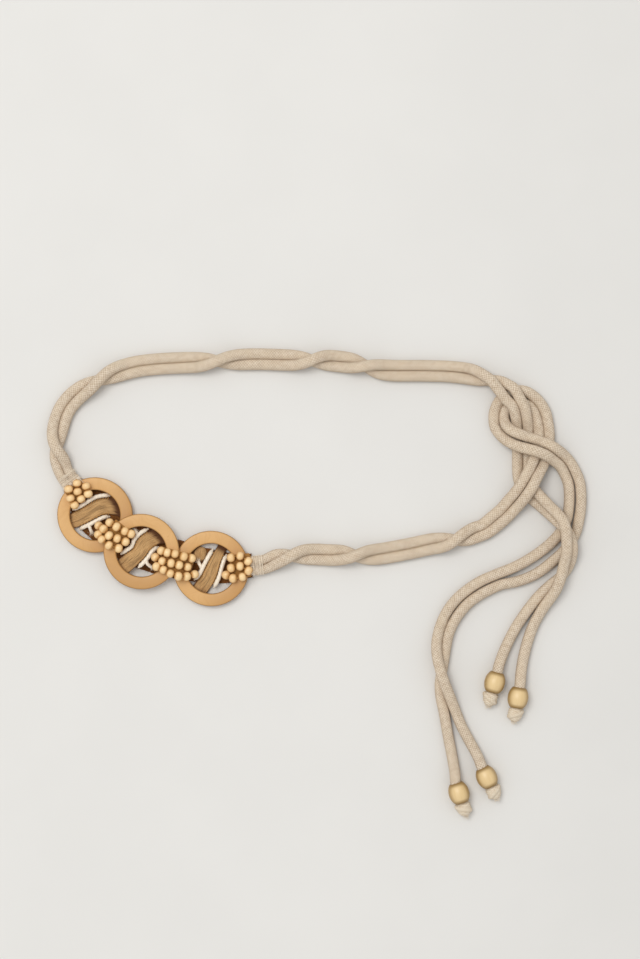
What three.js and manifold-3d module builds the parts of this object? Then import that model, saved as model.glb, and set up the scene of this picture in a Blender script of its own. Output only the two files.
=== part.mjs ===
// Wrap belt with a three-ring wooden buckle, bead bindings and four knotted cotton ropes.
// Millimetres, +Z up. The belt lies flat on its back. The origin is under the middle of the buckle.
import * as THREE from 'three';
import { mergeVertices } from 'three/addons/utils/BufferGeometryUtils.js';
import Module from 'manifold-3d';

const wasm = await Module();
wasm.setup();

// Driving dimensions
const GAP = 0.3;
const RING = { outer: 29.4, inner: 19.5, thick: 4.5, round: 1.2, sides: 28 };
const LEATHER = 1.2;
const SMALL_BEAD = 3.2;
const BEAD_THREAD = 0.9;
const BEAD_SHOULDER = { radius: 0.78 * SMALL_BEAD, reach: 0.55 * SMALL_BEAD };
const BEAD_SIDES = 9;
const ROPE = { radius: 3.9, rest: 4.2, half: 4.2, sides: 7, steps: 84 };
const EDGE_CORD = { radius: 1.25, lift: 0.5, sides: 5, steps: 10, spurRadius: 1.1, spurSteps: 3 };
const END_BEAD = { radius: 8, bore: 4.5, length: 16.2, sides: 12 };
const END_KNOT = { across: 5.6, along: 5.2 };
const WHIPPING = { wall: 0.9, length: 8 };

// Heights of the layers of the buckle, from the table up
const LAYER = LEATHER + GAP;
const RING_LOW = 2 * LAYER;
const RING_HIGH = RING_LOW + RING.thick + GAP;

const COLOUR = {
  wood: 0xe0b278,
  bead: 0xf6d7a2,
  brown: 0x4a2f1b,
  strap: 0xa0835f,
  cream: 0xefe1cb,
  rope: 0xd8c8ae,
};

// Places of the three rings
const RINGS = [
  { name: 'ring_1', x: -46.95, y: 21.15, bottom: RING_LOW },
  { name: 'ring_2', x: -10.6, y: -7.2, bottom: RING_HIGH },
  { name: 'ring_3', x: 43.4, y: -20.5, bottom: RING_LOW },
];

// Small helpers for meshes and solids
function mesh(name, geometry, colour, roughness = 0.8) {
  const material = new THREE.MeshStandardMaterial({ color: colour, roughness, metalness: 0 });
  const piece = new THREE.Mesh(geometry, material);
  piece.name = name;
  return piece;
}

function solid(geometry) {
  const bare = geometry.clone();
  bare.deleteAttribute('normal');
  bare.deleteAttribute('uv');
  const merged = mergeVertices(bare, 1e-3);
  return new wasm.Manifold(new wasm.Mesh({
    numProp: 3,
    vertProperties: new Float32Array(merged.attributes.position.array),
    triVerts: new Uint32Array(merged.index.array),
  }));
}

function geometryOf(body) {
  const { vertProperties, triVerts } = body.getMesh();
  const geometry = new THREE.BufferGeometry();
  geometry.setAttribute('position', new THREE.BufferAttribute(new Float32Array(vertProperties), 3));
  geometry.setIndex(new THREE.BufferAttribute(new Uint32Array(triVerts), 1));
  geometry.computeVertexNormals();
  return geometry;
}

function joined(geometries) {
  return geometryOf(geometries.map(solid).reduce((whole, next) => whole.add(next)));
}

function smoothPath(points) {
  return new THREE.CatmullRomCurve3(points.map(([x, y, z]) => new THREE.Vector3(x, y, z)));
}

function circle(radius, sides) {
  const corners = [];
  for (let i = 0; i < sides; i += 1) {
    const angle = (2 * Math.PI * (i + 0.5)) / sides;
    corners.push(new THREE.Vector2(radius * Math.cos(angle), radius * Math.sin(angle)));
  }
  return new THREE.Shape(corners);
}

function tube(points, radius, sides, steps) {
  return new THREE.ExtrudeGeometry(circle(radius, sides), { steps, extrudePath: smoothPath(points) });
}

// A closed profile of a rounded rectangle, from radius a to b and height c to d, for turning
function roundedBand(a, b, c, d, r) {
  const corners = [
    [a + r, c], [b - r, c], [b, c + r], [b, d - r],
    [b - r, d], [a + r, d], [a, d - r], [a, c + r], [a + r, c],
  ];
  return corners.map(([x, y]) => new THREE.Vector2(x, y));
}

// Flat wooden ring with rounded edges
function woodRing({ name, x, y, bottom }) {
  const profile = roundedBand(RING.inner, RING.outer, 0, RING.thick, RING.round);
  const geometry = new THREE.LatheGeometry(profile, RING.sides);
  geometry.rotateX(Math.PI / 2);
  const ring = mesh(name, geometry, COLOUR.wood, 0.55);
  ring.position.set(x, y, bottom);
  return ring;
}

// Brown suede backing, one strip under all the rings from end to end
const BACKING_LINE = [[-65, 45.7], [-46.25, 20.75], [-10.75, -7.35], [43.45, -20.75], [75.3, -18.3]];
const BACKING_SIDES = { left: [7.5, 16, 17.5, 17, 9], right: [8.5, 13, 11.5, 11.5, 9] };

function backing() {
  const offsetLine = (side, sign) => BACKING_LINE.map(([x, y], i) => {
    const before = BACKING_LINE[Math.max(i - 1, 0)];
    const after = BACKING_LINE[Math.min(i + 1, BACKING_LINE.length - 1)];
    const along = new THREE.Vector2(after[0] - before[0], after[1] - before[1]).normalize();
    return new THREE.Vector2(x - sign * side[i] * along.y, y + sign * side[i] * along.x);
  });
  const left = new THREE.SplineCurve(offsetLine(BACKING_SIDES.left, 1)).getPoints(12);
  const right = new THREE.SplineCurve(offsetLine(BACKING_SIDES.right, -1)).getPoints(12).reverse();
  const outline = new THREE.Shape([...left, ...right]);
  const geometry = new THREE.ExtrudeGeometry(outline, { depth: LEATHER, bevelEnabled: false });
  return mesh('backing', geometry, COLOUR.brown, 0.95);
}

// Thread bindings, each a flat band wound round the ring bands where they meet or end.
// Each has its ring, its heading from that ring's centre, its middle and width across,
// and its outer outline as rows of distance from the ring's centre and height.
const LOW_TOP = RING_LOW + RING.thick + LAYER;
const HIGH_TOP = RING_HIGH + RING.thick + LAYER;
const endOutline = (end) => [[14.4, LAYER], [end, LAYER], [end, LOW_TOP - 1], [end - 1, LOW_TOP],
  [15.4, LOW_TOP], [14.4, LOW_TOP - 1]];
const BINDINGS = [
  { name: 'binding_1', ring: 0, heading: 126.9, middle: 0.4, width: 17, outline: endOutline(30.8) },
  { name: 'binding_2', ring: 0, heading: -38.4, middle: -1.7, width: 21,
    outline: [[13.7, LAYER], [32.6, LAYER], [32.6, HIGH_TOP - 1.5], [31.3, HIGH_TOP], [14.7, HIGH_TOP],
      [13.7, HIGH_TOP - 1]] },
  { name: 'binding_3', ring: 1, heading: -13.9, middle: -1.4, width: 20,
    outline: [[14.3, LAYER], [41.6, LAYER], [41.6, LOW_TOP - 1], [40.6, LOW_TOP], [37, LOW_TOP],
      [31.4, HIGH_TOP], [15.3, HIGH_TOP], [14.3, HIGH_TOP - 1]] },
  { name: 'binding_4', ring: 2, heading: 4.3, middle: 0.6, width: 20, outline: endOutline(32.2) },
];

// An outline moved inwards by the thickness of the band, as its mitred corners
function inset(outline, depth) {
  const corners = outline.map(([x, y]) => new THREE.Vector2(x, y));
  return corners.map((corner, i) => {
    const before = corners[(i + corners.length - 1) % corners.length];
    const after = corners[(i + 1) % corners.length];
    const a = corner.clone().sub(before).normalize();
    const b = after.clone().sub(corner).normalize();
    const normal = new THREE.Vector2(-(a.y + b.y), a.x + b.x).normalize();
    const reach = depth / normal.dot(new THREE.Vector2(-a.y, a.x));
    return corner.clone().addScaledVector(normal, reach);
  });
}

function binding({ name, ring, heading, middle, width, outline }) {
  const shape = new THREE.Shape(outline.map(([x, y]) => new THREE.Vector2(x, y)));
  shape.holes.push(new THREE.Path(inset(outline, LEATHER)));
  const geometry = new THREE.ExtrudeGeometry(shape, { depth: width, bevelEnabled: false });
  geometry.translate(0, 0, -width / 2 - middle);
  geometry.rotateX(Math.PI / 2);
  geometry.rotateZ(THREE.MathUtils.degToRad(heading));
  const band = mesh(name, geometry, COLOUR.brown, 0.95);
  band.position.set(RINGS[ring].x, RINGS[ring].y, 0);
  return band;
}

// Height of a bead's centre at a place on a binding: it rests on the band, and hangs past its ends
const BAND_POINTS = 150;

function beadHeight({ ring, heading, outline }, x, y) {
  const turn = THREE.MathUtils.degToRad(heading);
  const along = (x - RINGS[ring].x) * Math.cos(turn) + (y - RINGS[ring].y) * Math.sin(turn);
  const reach = SMALL_BEAD + GAP;
  const [inner, outer] = [outline[0][0], outline[1][0]];
  const ends = { before: outline[outline.length - 2][1], after: outline[3][1] };
  const hanging = reach + (along < inner
    ? ends.before - (inner - along)
    : ends.after - Math.max(along - outer, 0));
  const band = new THREE.Path(outline.map(([s, z]) => new THREE.Vector2(s, z)));
  return band.getSpacedPoints(BAND_POINTS).reduce((height, { x: s, y: z }) => {
    const aside = Math.abs(along - s);
    return aside < reach ? Math.max(height, z + Math.sqrt(reach * reach - aside * aside)) : height;
  }, hanging);
}

// Strings of small wooden beads across each binding, with the place of each bead's middle
const STRANDS = [
  { name: 'strand_1_a', on: 0, beads: [[-53.4, 43.6], [-51.8, 37.6]] },
  { name: 'strand_1_b', on: 0, beads: [[-60.5, 45.9], [-60, 39.4], [-57.3, 33.7]] },
  { name: 'strand_1_c', on: 0, beads: [[-66.9, 41.3], [-65.5, 34.2], [-62.3, 28.9]] },
  { name: 'strand_2_a', on: 1, beads: [[-34.9, 15.4], [-29.5, 12.1], [-23, 8.7], [-18.1, 6.6]] },
  { name: 'strand_2_b', on: 1, beads: [[-43.7, 12.9], [-39.5, 10.4], [-35.3, 5.4], [-28.9, 3.1],
    [-22.5, 0.6]] },
  { name: 'strand_2_c', on: 1, beads: [[-43.8, 6.2], [-40.9, 2.4], [-35.3, -2.1], [-27.8, -4.5]] },
  { name: 'strand_3_a', on: 2, beads: [[5, -6.4], [9.8, -7.9], [15.8, -8.8], [22.6, -10.9],
    [28.6, -12.4]] },
  { name: 'strand_3_b', on: 2, beads: [[0.5, -11.5], [5.9, -14.5], [12.8, -16], [19, -17.5],
    [25.3, -19]] },
  { name: 'strand_3_c', on: 2, beads: [[1.4, -18.6], [6.8, -21.1], [12.2, -24], [18.4, -26.1],
    [24.7, -26.4], [30.7, -24.8]] },
  { name: 'strand_4_a', on: 3, beads: [[59, -11.9], [66, -10.5], [72.3, -14.7]] },
  { name: 'strand_4_b', on: 3, beads: [[59, -19.9], [66, -18.5], [72.6, -22]] },
  { name: 'strand_4_c', on: 3, beads: [[55.2, -25.4], [60.5, -27.9], [67.8, -26.8]] },
];

// The line that a strand's beads lie on, a bead's radius longer than the strand at each end
function strandLine({ on, beads }) {
  const places = beads.map(([x, y]) => new THREE.Vector2(x, y));
  const beyond = (from, to) => to.clone().add(to.clone().sub(from).setLength(SMALL_BEAD));
  const ends = [beyond(places[1], places[0]), beyond(places[places.length - 2], places[places.length - 1])];
  const line = [ends[0], ...places, ends[1]];
  return line.map(({ x, y }) => new THREE.Vector3(x, y, beadHeight(BINDINGS[on], x, y)));
}

// Beads and their thread turned as one profile, which then bends to the strand's line
function strand(row) {
  const places = strandLine(row);
  const line = new THREE.CatmullRomCurve3(places);
  const length = line.getLength();
  const runs = places.map((place, i) => (i === 0 ? 0 : place.distanceTo(places[i - 1])));
  const stretch = length / runs.reduce((total, run) => total + run);
  const profile = [new THREE.Vector2(0, 0)];
  let centre = 0;
  for (let i = 1; i <= row.beads.length; i += 1) {
    const run = runs[i] * stretch;
    if (i > 1) profile.push(new THREE.Vector2(BEAD_THREAD, centre + run / 2));
    centre += run;
    profile.push(new THREE.Vector2(BEAD_SHOULDER.radius, centre - BEAD_SHOULDER.reach));
    profile.push(new THREE.Vector2(SMALL_BEAD, centre));
    profile.push(new THREE.Vector2(BEAD_SHOULDER.radius, centre + BEAD_SHOULDER.reach));
  }
  profile.push(new THREE.Vector2(0, length));
  const geometry = new THREE.LatheGeometry(profile, BEAD_SIDES);
  const { position } = geometry.attributes;
  for (let i = 0; i < position.count; i += 1) {
    const t = THREE.MathUtils.clamp(position.getY(i) / length, 0, 1);
    const along = line.getTangentAt(t);
    const right = new THREE.Vector3(along.y, -along.x, 0).normalize();
    const up = right.clone().cross(along);
    const at = line.getPointAt(t);
    at.addScaledVector(right, position.getX(i)).addScaledVector(up, position.getZ(i));
    position.setXYZ(i, at.x, at.y, at.z);
  }
  return mesh(row.name, geometry, COLOUR.bead, 0.5);
}

// One turn of suede strap across each ring's hole, its ends tucked under the ring's band.
// Rows of the strap's middle, measured from the ring's centre, and its width there.
const STRAPS = [
  { name: 'strap_turn_1', ring: 0,
    line: [[-25.3, -5.2, 12], [-17.5, -4.4, 12], [-6.8, 0.4, 12.2], [5.1, 6.5, 13.2], [13.9, 6.5, 12.4],
      [22.9, 3.8, 12]] },
  { name: 'strap_turn_2', ring: 1,
    line: [[-17.4, -13.4, 12], [-9.4, -6.8, 12], [-1.8, -0.9, 11.6], [2.8, 6.5, 13], [10.1, 11, 12.2],
      [17.9, 12.5, 12]] },
  { name: 'strap_turn_3', ring: 2,
    line: [[-13, -18.5, 11], [-9, -14.4, 11], [-3.9, -9.1, 11], [-0.4, -3.2, 10.9], [2.4, 4.1, 9.4],
      [6.2, 12.1, 7.7], [10.5, 20, 7.7]] },
];
const STRAP_STEPS = 14;
const HOLE_EDGE = 18.8;
const STRAP_RISE = 8.5;
const STRAP_TOP = 3.6;

// Height of a strap's middle at a distance from the ring's centre: low under the band, high in the hole
function strapHeight(ring, distance) {
  const low = RINGS[ring].bottom - GAP - LEATHER / 2;
  return low + STRAP_TOP * THREE.MathUtils.smoothstep(HOLE_EDGE - distance, 0, STRAP_RISE);
}

// A place on the strap: t along it from 0 to 1, and a fraction of its half width to the left
function strapPlace({ ring, line }, t, fraction, beyond = 0) {
  const plan = smoothPath(line);
  const at = plan.getPoint(t);
  const along = plan.getTangent(t).setZ(0).normalize();
  const half = at.z / 2;
  const place = (reach) => [at.x - along.y * reach, at.y + along.x * reach];
  const height = strapHeight(ring, Math.max(Math.hypot(...place(half)), Math.hypot(...place(-half))));
  return [...place(fraction * half + Math.sign(fraction) * beyond), height];
}

function strapTurn(strap) {
  const geometry = new THREE.BoxGeometry(1, 2, LEATHER, STRAP_STEPS, 1, 1);
  const { position } = geometry.attributes;
  for (let i = 0; i < position.count; i += 1) {
    const [x, y, z] = strapPlace(strap, position.getX(i) + 0.5, position.getY(i));
    position.setXYZ(i, x, y, z + position.getZ(i));
  }
  const turn = mesh(strap.name, geometry, COLOUR.strap, 0.95);
  turn.position.set(RINGS[strap.ring].x, RINGS[strap.ring].y, 0);
  return turn;
}

// Cream cords laced along both edges of each strap, from and to a place along the strap, some with
// a short branch. A branch is rows measured from the ring's centre.
const EDGES = [
  { name: 'edge_cord_1_upper', strap: 0, side: 1, from: 0.26, to: 0.73, branch: null },
  { name: 'edge_cord_1_lower', strap: 0, side: -1, from: 0.28, to: 0.76,
    branch: [[-5.5, -6.6], [-3.8, -10.2], [-2.7, -13.4]] },
  { name: 'edge_cord_2_upper', strap: 1, side: 1, from: 0.16, to: 0.76,
    branch: [[-2.9, 11.8], [-3.7, 13.8], [-4.4, 16]] },
  { name: 'edge_cord_2_lower', strap: 1, side: -1, from: 0.24, to: 0.8,
    branch: [[3.6, -4.6], [4.6, -9.2], [8.6, -12.6]] },
  { name: 'edge_cord_3_upper', strap: 2, side: 1, from: 0.24, to: 0.78,
    branch: [[-6.4, -1.6], [-8.4, 2.2], [-10.2, 5.8]] },
  { name: 'edge_cord_3_lower', strap: 2, side: -1, from: 0.2, to: 0.86, branch: null },
];

function edgeCord({ name, strap, side, from, to, branch }) {
  const { ring } = STRAPS[strap];
  const line = [];
  for (let t = from; t < to + 0.01; t += (to - from) / 6) {
    const [x, y, z] = strapPlace(STRAPS[strap], t, side, EDGE_CORD.radius + 1.5 * GAP);
    line.push([x, y, z + EDGE_CORD.lift]);
  }
  const parts = [tube(line, EDGE_CORD.radius, EDGE_CORD.sides, EDGE_CORD.steps)];
  if (branch) {
    const rows = branch.map(([x, y]) => [x, y, strapHeight(ring, Math.hypot(x, y)) + EDGE_CORD.lift]);
    parts.push(tube(rows, EDGE_CORD.spurRadius, EDGE_CORD.sides, EDGE_CORD.spurSteps));
  }
  const cord = mesh(name, joined(parts), COLOUR.cream, 0.85);
  cord.position.set(RINGS[ring].x, RINGS[ring].y, 0);
  return cord;
}

// Middle line of each twisted pair of ropes, from the buckle towards the knot.
// Columns: x, y, half turns made so far. At a half turn and a half the ropes cross.
const PAIR_LEFT = [
  [-65.4, 46.3, 0], [-70.6, 53.3, 0.04], [-74, 63, 0.22], [-76.5, 70.5, 0.42], [-77, 79, 0.62],
  [-75.5, 90.5, 0.84], [-70.5, 104, 1], [-61.5, 114.5, 1.14], [-50.5, 122, 1.34], [-40.5, 127.5, 1.56],
  [-29.5, 132.5, 1.78], [-15.5, 136.5, 1.95], [-0.5, 138.5, 2.02], [16.5, 139.5, 2.08], [33, 140, 2.22],
  [48.5, 141, 2.5], [64, 142, 2.78], [78, 142.5, 2.95], [97, 142, 3.07], [110, 141.5, 3.24],
  [122, 141.5, 3.5], [133.5, 141.5, 3.77], [144.5, 140.5, 4.02], [154.5, 139, 4.27], [164, 137, 4.5],
  [175, 134.5, 4.74], [187.5, 133.5, 4.92], [206, 133.5, 5], [226.5, 133, 5],
];
const PAIR_RIGHT = [
  [76, -18.3, 0], [84.6, -17.3, 0.05], [94.5, -13, 0.25], [105.5, -10.5, 0.5], [115.5, -9.5, 0.73],
  [125.5, -9.5, 0.93], [136.5, -10, 1.1], [146, -10, 1.28], [155.5, -10.5, 1.5], [165.5, -10, 1.73],
  [175.5, -9, 1.9], [187.5, -7, 1.98], [200.5, -4.5, 2.02], [214.5, -1.5, 2.12], [225, 0, 2.3],
  [234, 2, 2.52], [242, 4.5, 2.72], [249, 7.5, 2.88],
];

// Each rope's own way through the knot and down its tail. Columns: x, y, height of its middle.
const ROPE_LEFT_A = [
  [239.5, 127.5, 4.2], [250.5, 126, 4.2], [261, 126, 5], [269, 125, 6.9], [274, 122.5, 9.9],
  [278.5, 119.5, 12.1], [283, 112, 12.5], [286.5, 105.5, 12], [288.5, 98.5, 9.3], [289.7, 91, 5.6],
  [290, 83, 4.4], [290.2, 72.5, 4.3], [290.2, 62.5, 4.4], [290.6, 54, 5.1], [292.4, 46, 6.8],
  [296.2, 39.4, 9.2], [301.2, 33.6, 10.8], [306.4, 28.1, 11.9], [311.9, 22.5, 16.1],
  [315.8, 17.2, 19.2], [317.9, 11.5, 20.5], [318.7, 5.5, 20.1], [319.1, -1, 19.2], [319.1, -7, 17.4],
  [318.3, -13, 14.4], [317.1, -18.5, 12.9], [315.9, -24, 12.4], [314.3, -29.6, 11.8],
  [312.2, -35.1, 10.6], [308.9, -41, 8.4], [301.2, -52, 5.2], [294.5, -64, 4.2], [289.9, -76.5, 4.2],
  [286.8, -88.5, 4.4], [285, -98, 5.2],
];
const ROPE_LEFT_B = [
  [242.5, 135.5, 4.4], [249, 133.5, 7.9], [255, 130, 11.5], [261, 125.5, 13.2], [267, 118, 12.9],
  [272, 111.5, 12.2], [277.5, 105.5, 12.2], [280, 98.5, 9.4], [281.1, 91.5, 5.9], [281.5, 84, 4.3],
  [281.9, 75, 4.2], [281.9, 65.5, 4.2], [282, 56, 4.2], [282.9, 48.5, 4.2], [286, 41, 4.2],
  [291.5, 35, 4.2], [297.2, 30.2, 4.2], [302.7, 25.4, 4.2], [308.2, 20.4, 7.3], [312.9, 15.9, 10.8],
  [317.3, 11.6, 12.3], [321, 6.8, 12.1], [323.3, 1, 12.5], [324.2, -5.5, 11.2], [323.6, -12, 8],
  [321.8, -18, 5.2], [318.5, -23.4, 4.2], [314, -28.2, 4.2], [308, -33, 4.2], [298.9, -41.5, 4.2],
  [289.3, -53.4, 4.2], [281.2, -65.4, 4.2], [274.8, -77.3, 4.2], [269.9, -88.5, 5],
  [266.9, -97, 7.3],
];
const ROPE_RIGHT_A = [
  [258.5, 7, 4.2], [268, 14, 4.6], [275, 20.5, 5.6], [281, 27, 7.7], [287, 34.5, 13.2],
  [292.6, 43, 16], [297.3, 52, 12.9], [301.6, 60, 8.6], [304.5, 68.5, 7], [306, 76.5, 5.4],
  [306.5, 84.5, 4.2], [305.5, 93, 4.2], [303.5, 101.5, 4.2], [299.5, 108.5, 4.2], [294.5, 113.5, 4.2],
  [289, 117, 4.2], [283, 118, 4.2], [277, 117, 4.2], [272, 114.5, 4.2], [267.5, 109.5, 4.2],
  [264.5, 103.5, 4.2], [263.5, 97, 4.2], [264.5, 89.5, 4.6], [269, 83, 5.6], [275, 78, 9.8],
  [282, 74.5, 13.2], [289, 72.5, 16], [296, 70.5, 18.3], [303.5, 67.5, 16], [309, 64, 11],
  [314.5, 59.5, 7.5], [318.5, 53, 5], [321.4, 45.5, 4.2], [322.2, 36.5, 4.2], [321.8, 27, 4.2],
  [320.4, 18.5, 4.2], [317, 10.5, 4.2], [311.8, 3.4, 4.2], [303.5, -4.4, 4.2], [292.4, -12.3, 4.2],
  [279.5, -19.4, 4.2], [265.9, -24.8, 4.2], [253.5, -30.2, 4.2], [243.4, -36.6, 4.2],
  [234.3, -44.4, 4.2], [226.6, -54.6, 4.2], [221.6, -66, 4.5], [219, -77, 6.6], [219, -87, 9.5],
  [221, -97, 12.1], [224.4, -108, 11.9], [228.7, -119, 9], [233.3, -131, 5], [238.2, -143, 4.2],
  [244.2, -154.4, 4.3], [251, -167, 5.4],
];
const ROPE_RIGHT_B = [
  [254, 13.5, 4.2], [262, 20, 4.3], [269, 26, 4.8], [274, 32, 6.6], [279.5, 38.5, 10.3],
  [284.2, 45, 12.6], [288.8, 53.5, 13.2], [292.8, 61.5, 12.1], [296, 69.5, 9.7], [297.9, 77.5, 7.2],
  [298.3, 85, 4.8], [297.4, 92.5, 4.2], [295.3, 99.5, 4.2], [291.4, 105.3, 4.2], [286, 108, 4.2],
  [280.5, 108, 4.2], [275.6, 106, 4.2], [272.2, 101.5, 4.4], [271.5, 96.5, 5.4], [272.8, 91, 8.4],
  [276.7, 87, 12.3], [282, 84.5, 13.6], [288.5, 82, 12.5], [294, 80.3, 12.2], [299.5, 78.3, 12],
  [305.5, 76, 13.9], [311.5, 72.5, 12.3], [317.5, 68, 7.6], [323, 62, 4.8], [327.3, 54.5, 4.2],
  [330.2, 47, 4.2], [331.3, 37.5, 4.2], [331.2, 28, 4.2], [329.9, 18.5, 4.2], [327.3, 8, 4.2],
  [322.8, -0.5, 4.2], [316.5, -8.3, 4.2], [308, -15.9, 4.2], [299.7, -22.4, 4.2], [290.5, -27.4, 4.2],
  [280, -30.9, 4.2], [269.5, -33, 4.2], [260.8, -36.6, 4.2], [251.2, -41.9, 4.2], [242.9, -48.2, 4.2],
  [236.2, -56, 4.2], [231, -64.5, 4.2], [227.8, -73, 4.2], [226, -82, 4.2], [224.6, -91, 4.2],
  [222.9, -101, 4.2], [221.6, -111, 4.2], [222.3, -121, 4.2], [224.6, -132, 4.2], [226.6, -143.5, 4.2],
  [228.7, -155, 4.2], [231.2, -168, 4.8], [233.1, -180, 7],
];

// The four tails: which pair and rope each is, where its end bead lies and which way it points
const TAILS = [
  { rope: 'rope_left_a', pair: PAIR_LEFT, left: true, route: ROPE_LEFT_A,
    bead: 'end_bead_2', knot: 'end_knot_2', x: 282, y: -120.8, heading: -99 },
  { rope: 'rope_left_b', pair: PAIR_LEFT, left: false, route: ROPE_LEFT_B,
    bead: 'end_bead_1', knot: 'end_knot_1', x: 263.9, y: -108.9, heading: -105 },
  { rope: 'rope_right_a', pair: PAIR_RIGHT, left: true, route: ROPE_RIGHT_A,
    bead: 'end_bead_4', knot: 'end_knot_4', x: 257.7, y: -182.6, heading: -64 },
  { rope: 'rope_right_b', pair: PAIR_RIGHT, left: false, route: ROPE_RIGHT_B,
    bead: 'end_bead_3', knot: 'end_knot_3', x: 236.1, y: -194.8, heading: -72 },
];

// Points of one rope of a pair. The upper rope rises over the lower one, which stays on the table.
// The ropes start raised inside their whipping, and come down to the table over the lead's slope.
const TURN_WEIGHT = 20;
const LEAD = { flat: 9, slope: 26 };
const WHIP_RISE = WHIPPING.wall + GAP;

function pairRope(rows, left) {
  const middle = smoothPath(rows.map(([x, y, turns]) => [x, y, TURN_WEIGHT * turns]));
  const count = 2 * (rows.length - 1);
  const points = [];
  let run = 0;
  let last = null;
  for (let i = 0; i <= count; i += 1) {
    const at = middle.getPoint(i / count);
    const along = middle.getTangent(i / count).setZ(0).normalize();
    const turn = (-Math.PI * at.z) / TURN_WEIGHT;
    const lift = Math.sin(turn) * (left ? 1 : -1);
    const aside = ROPE.half * Math.cos(turn) * Math.sqrt(1 + lift * lift) * (left ? 1 : -1);
    run += last ? Math.hypot(at.x - last.x, at.y - last.y) : 0;
    last = at;
    const over = lift > 0 ? 2 * ROPE.half * lift * lift : 0;
    const lead = WHIP_RISE * (1 - THREE.MathUtils.smoothstep(run, LEAD.flat, LEAD.flat + LEAD.slope));
    points.push([at.x - along.y * aside, at.y + along.x * aside, ROPE.rest + over + lead]);
  }
  return points;
}

function heading(degrees) {
  const turn = THREE.MathUtils.degToRad(degrees);
  return new THREE.Vector2(Math.cos(turn), Math.sin(turn));
}

// Cotton rope from its whipping at the buckle, round the waist, through the knot and its end bead
function rope(tail) {
  const way = heading(tail.heading);
  const seat = (reach) => [tail.x + way.x * reach, tail.y + way.y * reach, END_BEAD.radius];
  const half = END_BEAD.length / 2;
  const points = [...pairRope(tail.pair, tail.left), ...tail.route, seat(-half), seat(half)];
  return mesh(tail.rope, tube(points, ROPE.radius, ROPE.sides, ROPE.steps), COLOUR.rope, 0.9);
}

// Round barrel bead drilled for the rope, lying on the table. Its profile is rows of radius and
// fraction of its half length.
const END_BEAD_PROFILE = [
  [END_BEAD.bore, -1], [5.5, -1], [7.3, -0.72], [END_BEAD.radius, -0.25],
  [END_BEAD.radius, 0.25], [7.3, 0.72], [5.5, 1], [END_BEAD.bore, 1], [END_BEAD.bore, -1],
];

function endBead({ bead, x, y, heading: degrees }) {
  const half = END_BEAD.length / 2;
  const profile = END_BEAD_PROFILE.map(([r, part]) => new THREE.Vector2(r, part * half));
  const geometry = new THREE.LatheGeometry(profile, END_BEAD.sides);
  geometry.rotateY(Math.PI / END_BEAD.sides);
  const piece = mesh(bead, geometry, COLOUR.wood, 0.5);
  piece.rotation.z = THREE.MathUtils.degToRad(degrees - 90);
  piece.position.set(x, y, END_BEAD.radius);
  return piece;
}

// Knot tied in the rope's end against the bead
function endKnot({ knot, x, y, heading: degrees }) {
  const way = heading(degrees);
  const reach = END_BEAD.length / 2 + GAP + END_KNOT.along;
  const geometry = new THREE.SphereGeometry(1, 10, 5);
  geometry.rotateX(Math.PI / 2);
  geometry.scale(END_KNOT.along, END_KNOT.across, END_KNOT.across);
  const piece = mesh(knot, geometry, COLOUR.rope, 0.9);
  piece.rotation.z = THREE.MathUtils.degToRad(degrees);
  piece.position.set(x + way.x * reach, y + way.y * reach, END_KNOT.across);
  return piece;
}

// White thread whipping round both ropes of a pair where they leave the buckle
function whipping(name, rows) {
  const outer = new THREE.Shape();
  const inner = new THREE.Path();
  const bore = ROPE.radius + 2 * GAP;
  const skin = bore + WHIPPING.wall - GAP;
  for (const [path, radius] of [[outer, skin], [inner, bore]]) {
    path.absarc(ROPE.half, 0, radius, -Math.PI / 2, Math.PI / 2, false);
    path.absarc(-ROPE.half, 0, radius, Math.PI / 2, 1.5 * Math.PI, false);
    path.closePath();
  }
  outer.holes.push(inner);
  const geometry = new THREE.ExtrudeGeometry(outer, {
    depth: WHIPPING.length, bevelEnabled: false, curveSegments: 4,
  });
  geometry.rotateX(Math.PI / 2);
  const [start, next] = rows;
  const way = new THREE.Vector2(next[0] - start[0], next[1] - start[1]).normalize();
  geometry.rotateZ(Math.atan2(way.y, way.x) + Math.PI / 2);
  const piece = mesh(name, geometry, COLOUR.cream, 0.9);
  piece.position.set(start[0], start[1], ROPE.rest + WHIP_RISE);
  return piece;
}

// The buckle: backing, rings, bindings, bead strands and laced straps
const buckle = new THREE.Group();
buckle.add(backing(), ...RINGS.map(woodRing), ...BINDINGS.map(binding), ...STRANDS.map(strand));
buckle.add(...STRAPS.map(strapTurn), ...EDGES.map(edgeCord));

// The ropes with their whippings, end beads and end knots
const ropes = new THREE.Group();
ropes.add(whipping('whipping_left', PAIR_LEFT), whipping('whipping_right', PAIR_RIGHT));
ropes.add(...TAILS.map(rope), ...TAILS.map(endBead), ...TAILS.map(endKnot));

const belt = new THREE.Group();
belt.add(buckle, ropes);
export default belt;
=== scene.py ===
# Wrap belt laid out flat on a pale table. Three wooden rings are bound side by side as a buckle.
# Four cotton ropes, twisted in pairs round the waist, are knotted together and end in wooden beads.
import math
import random

import bpy
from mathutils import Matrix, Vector, noise


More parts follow.
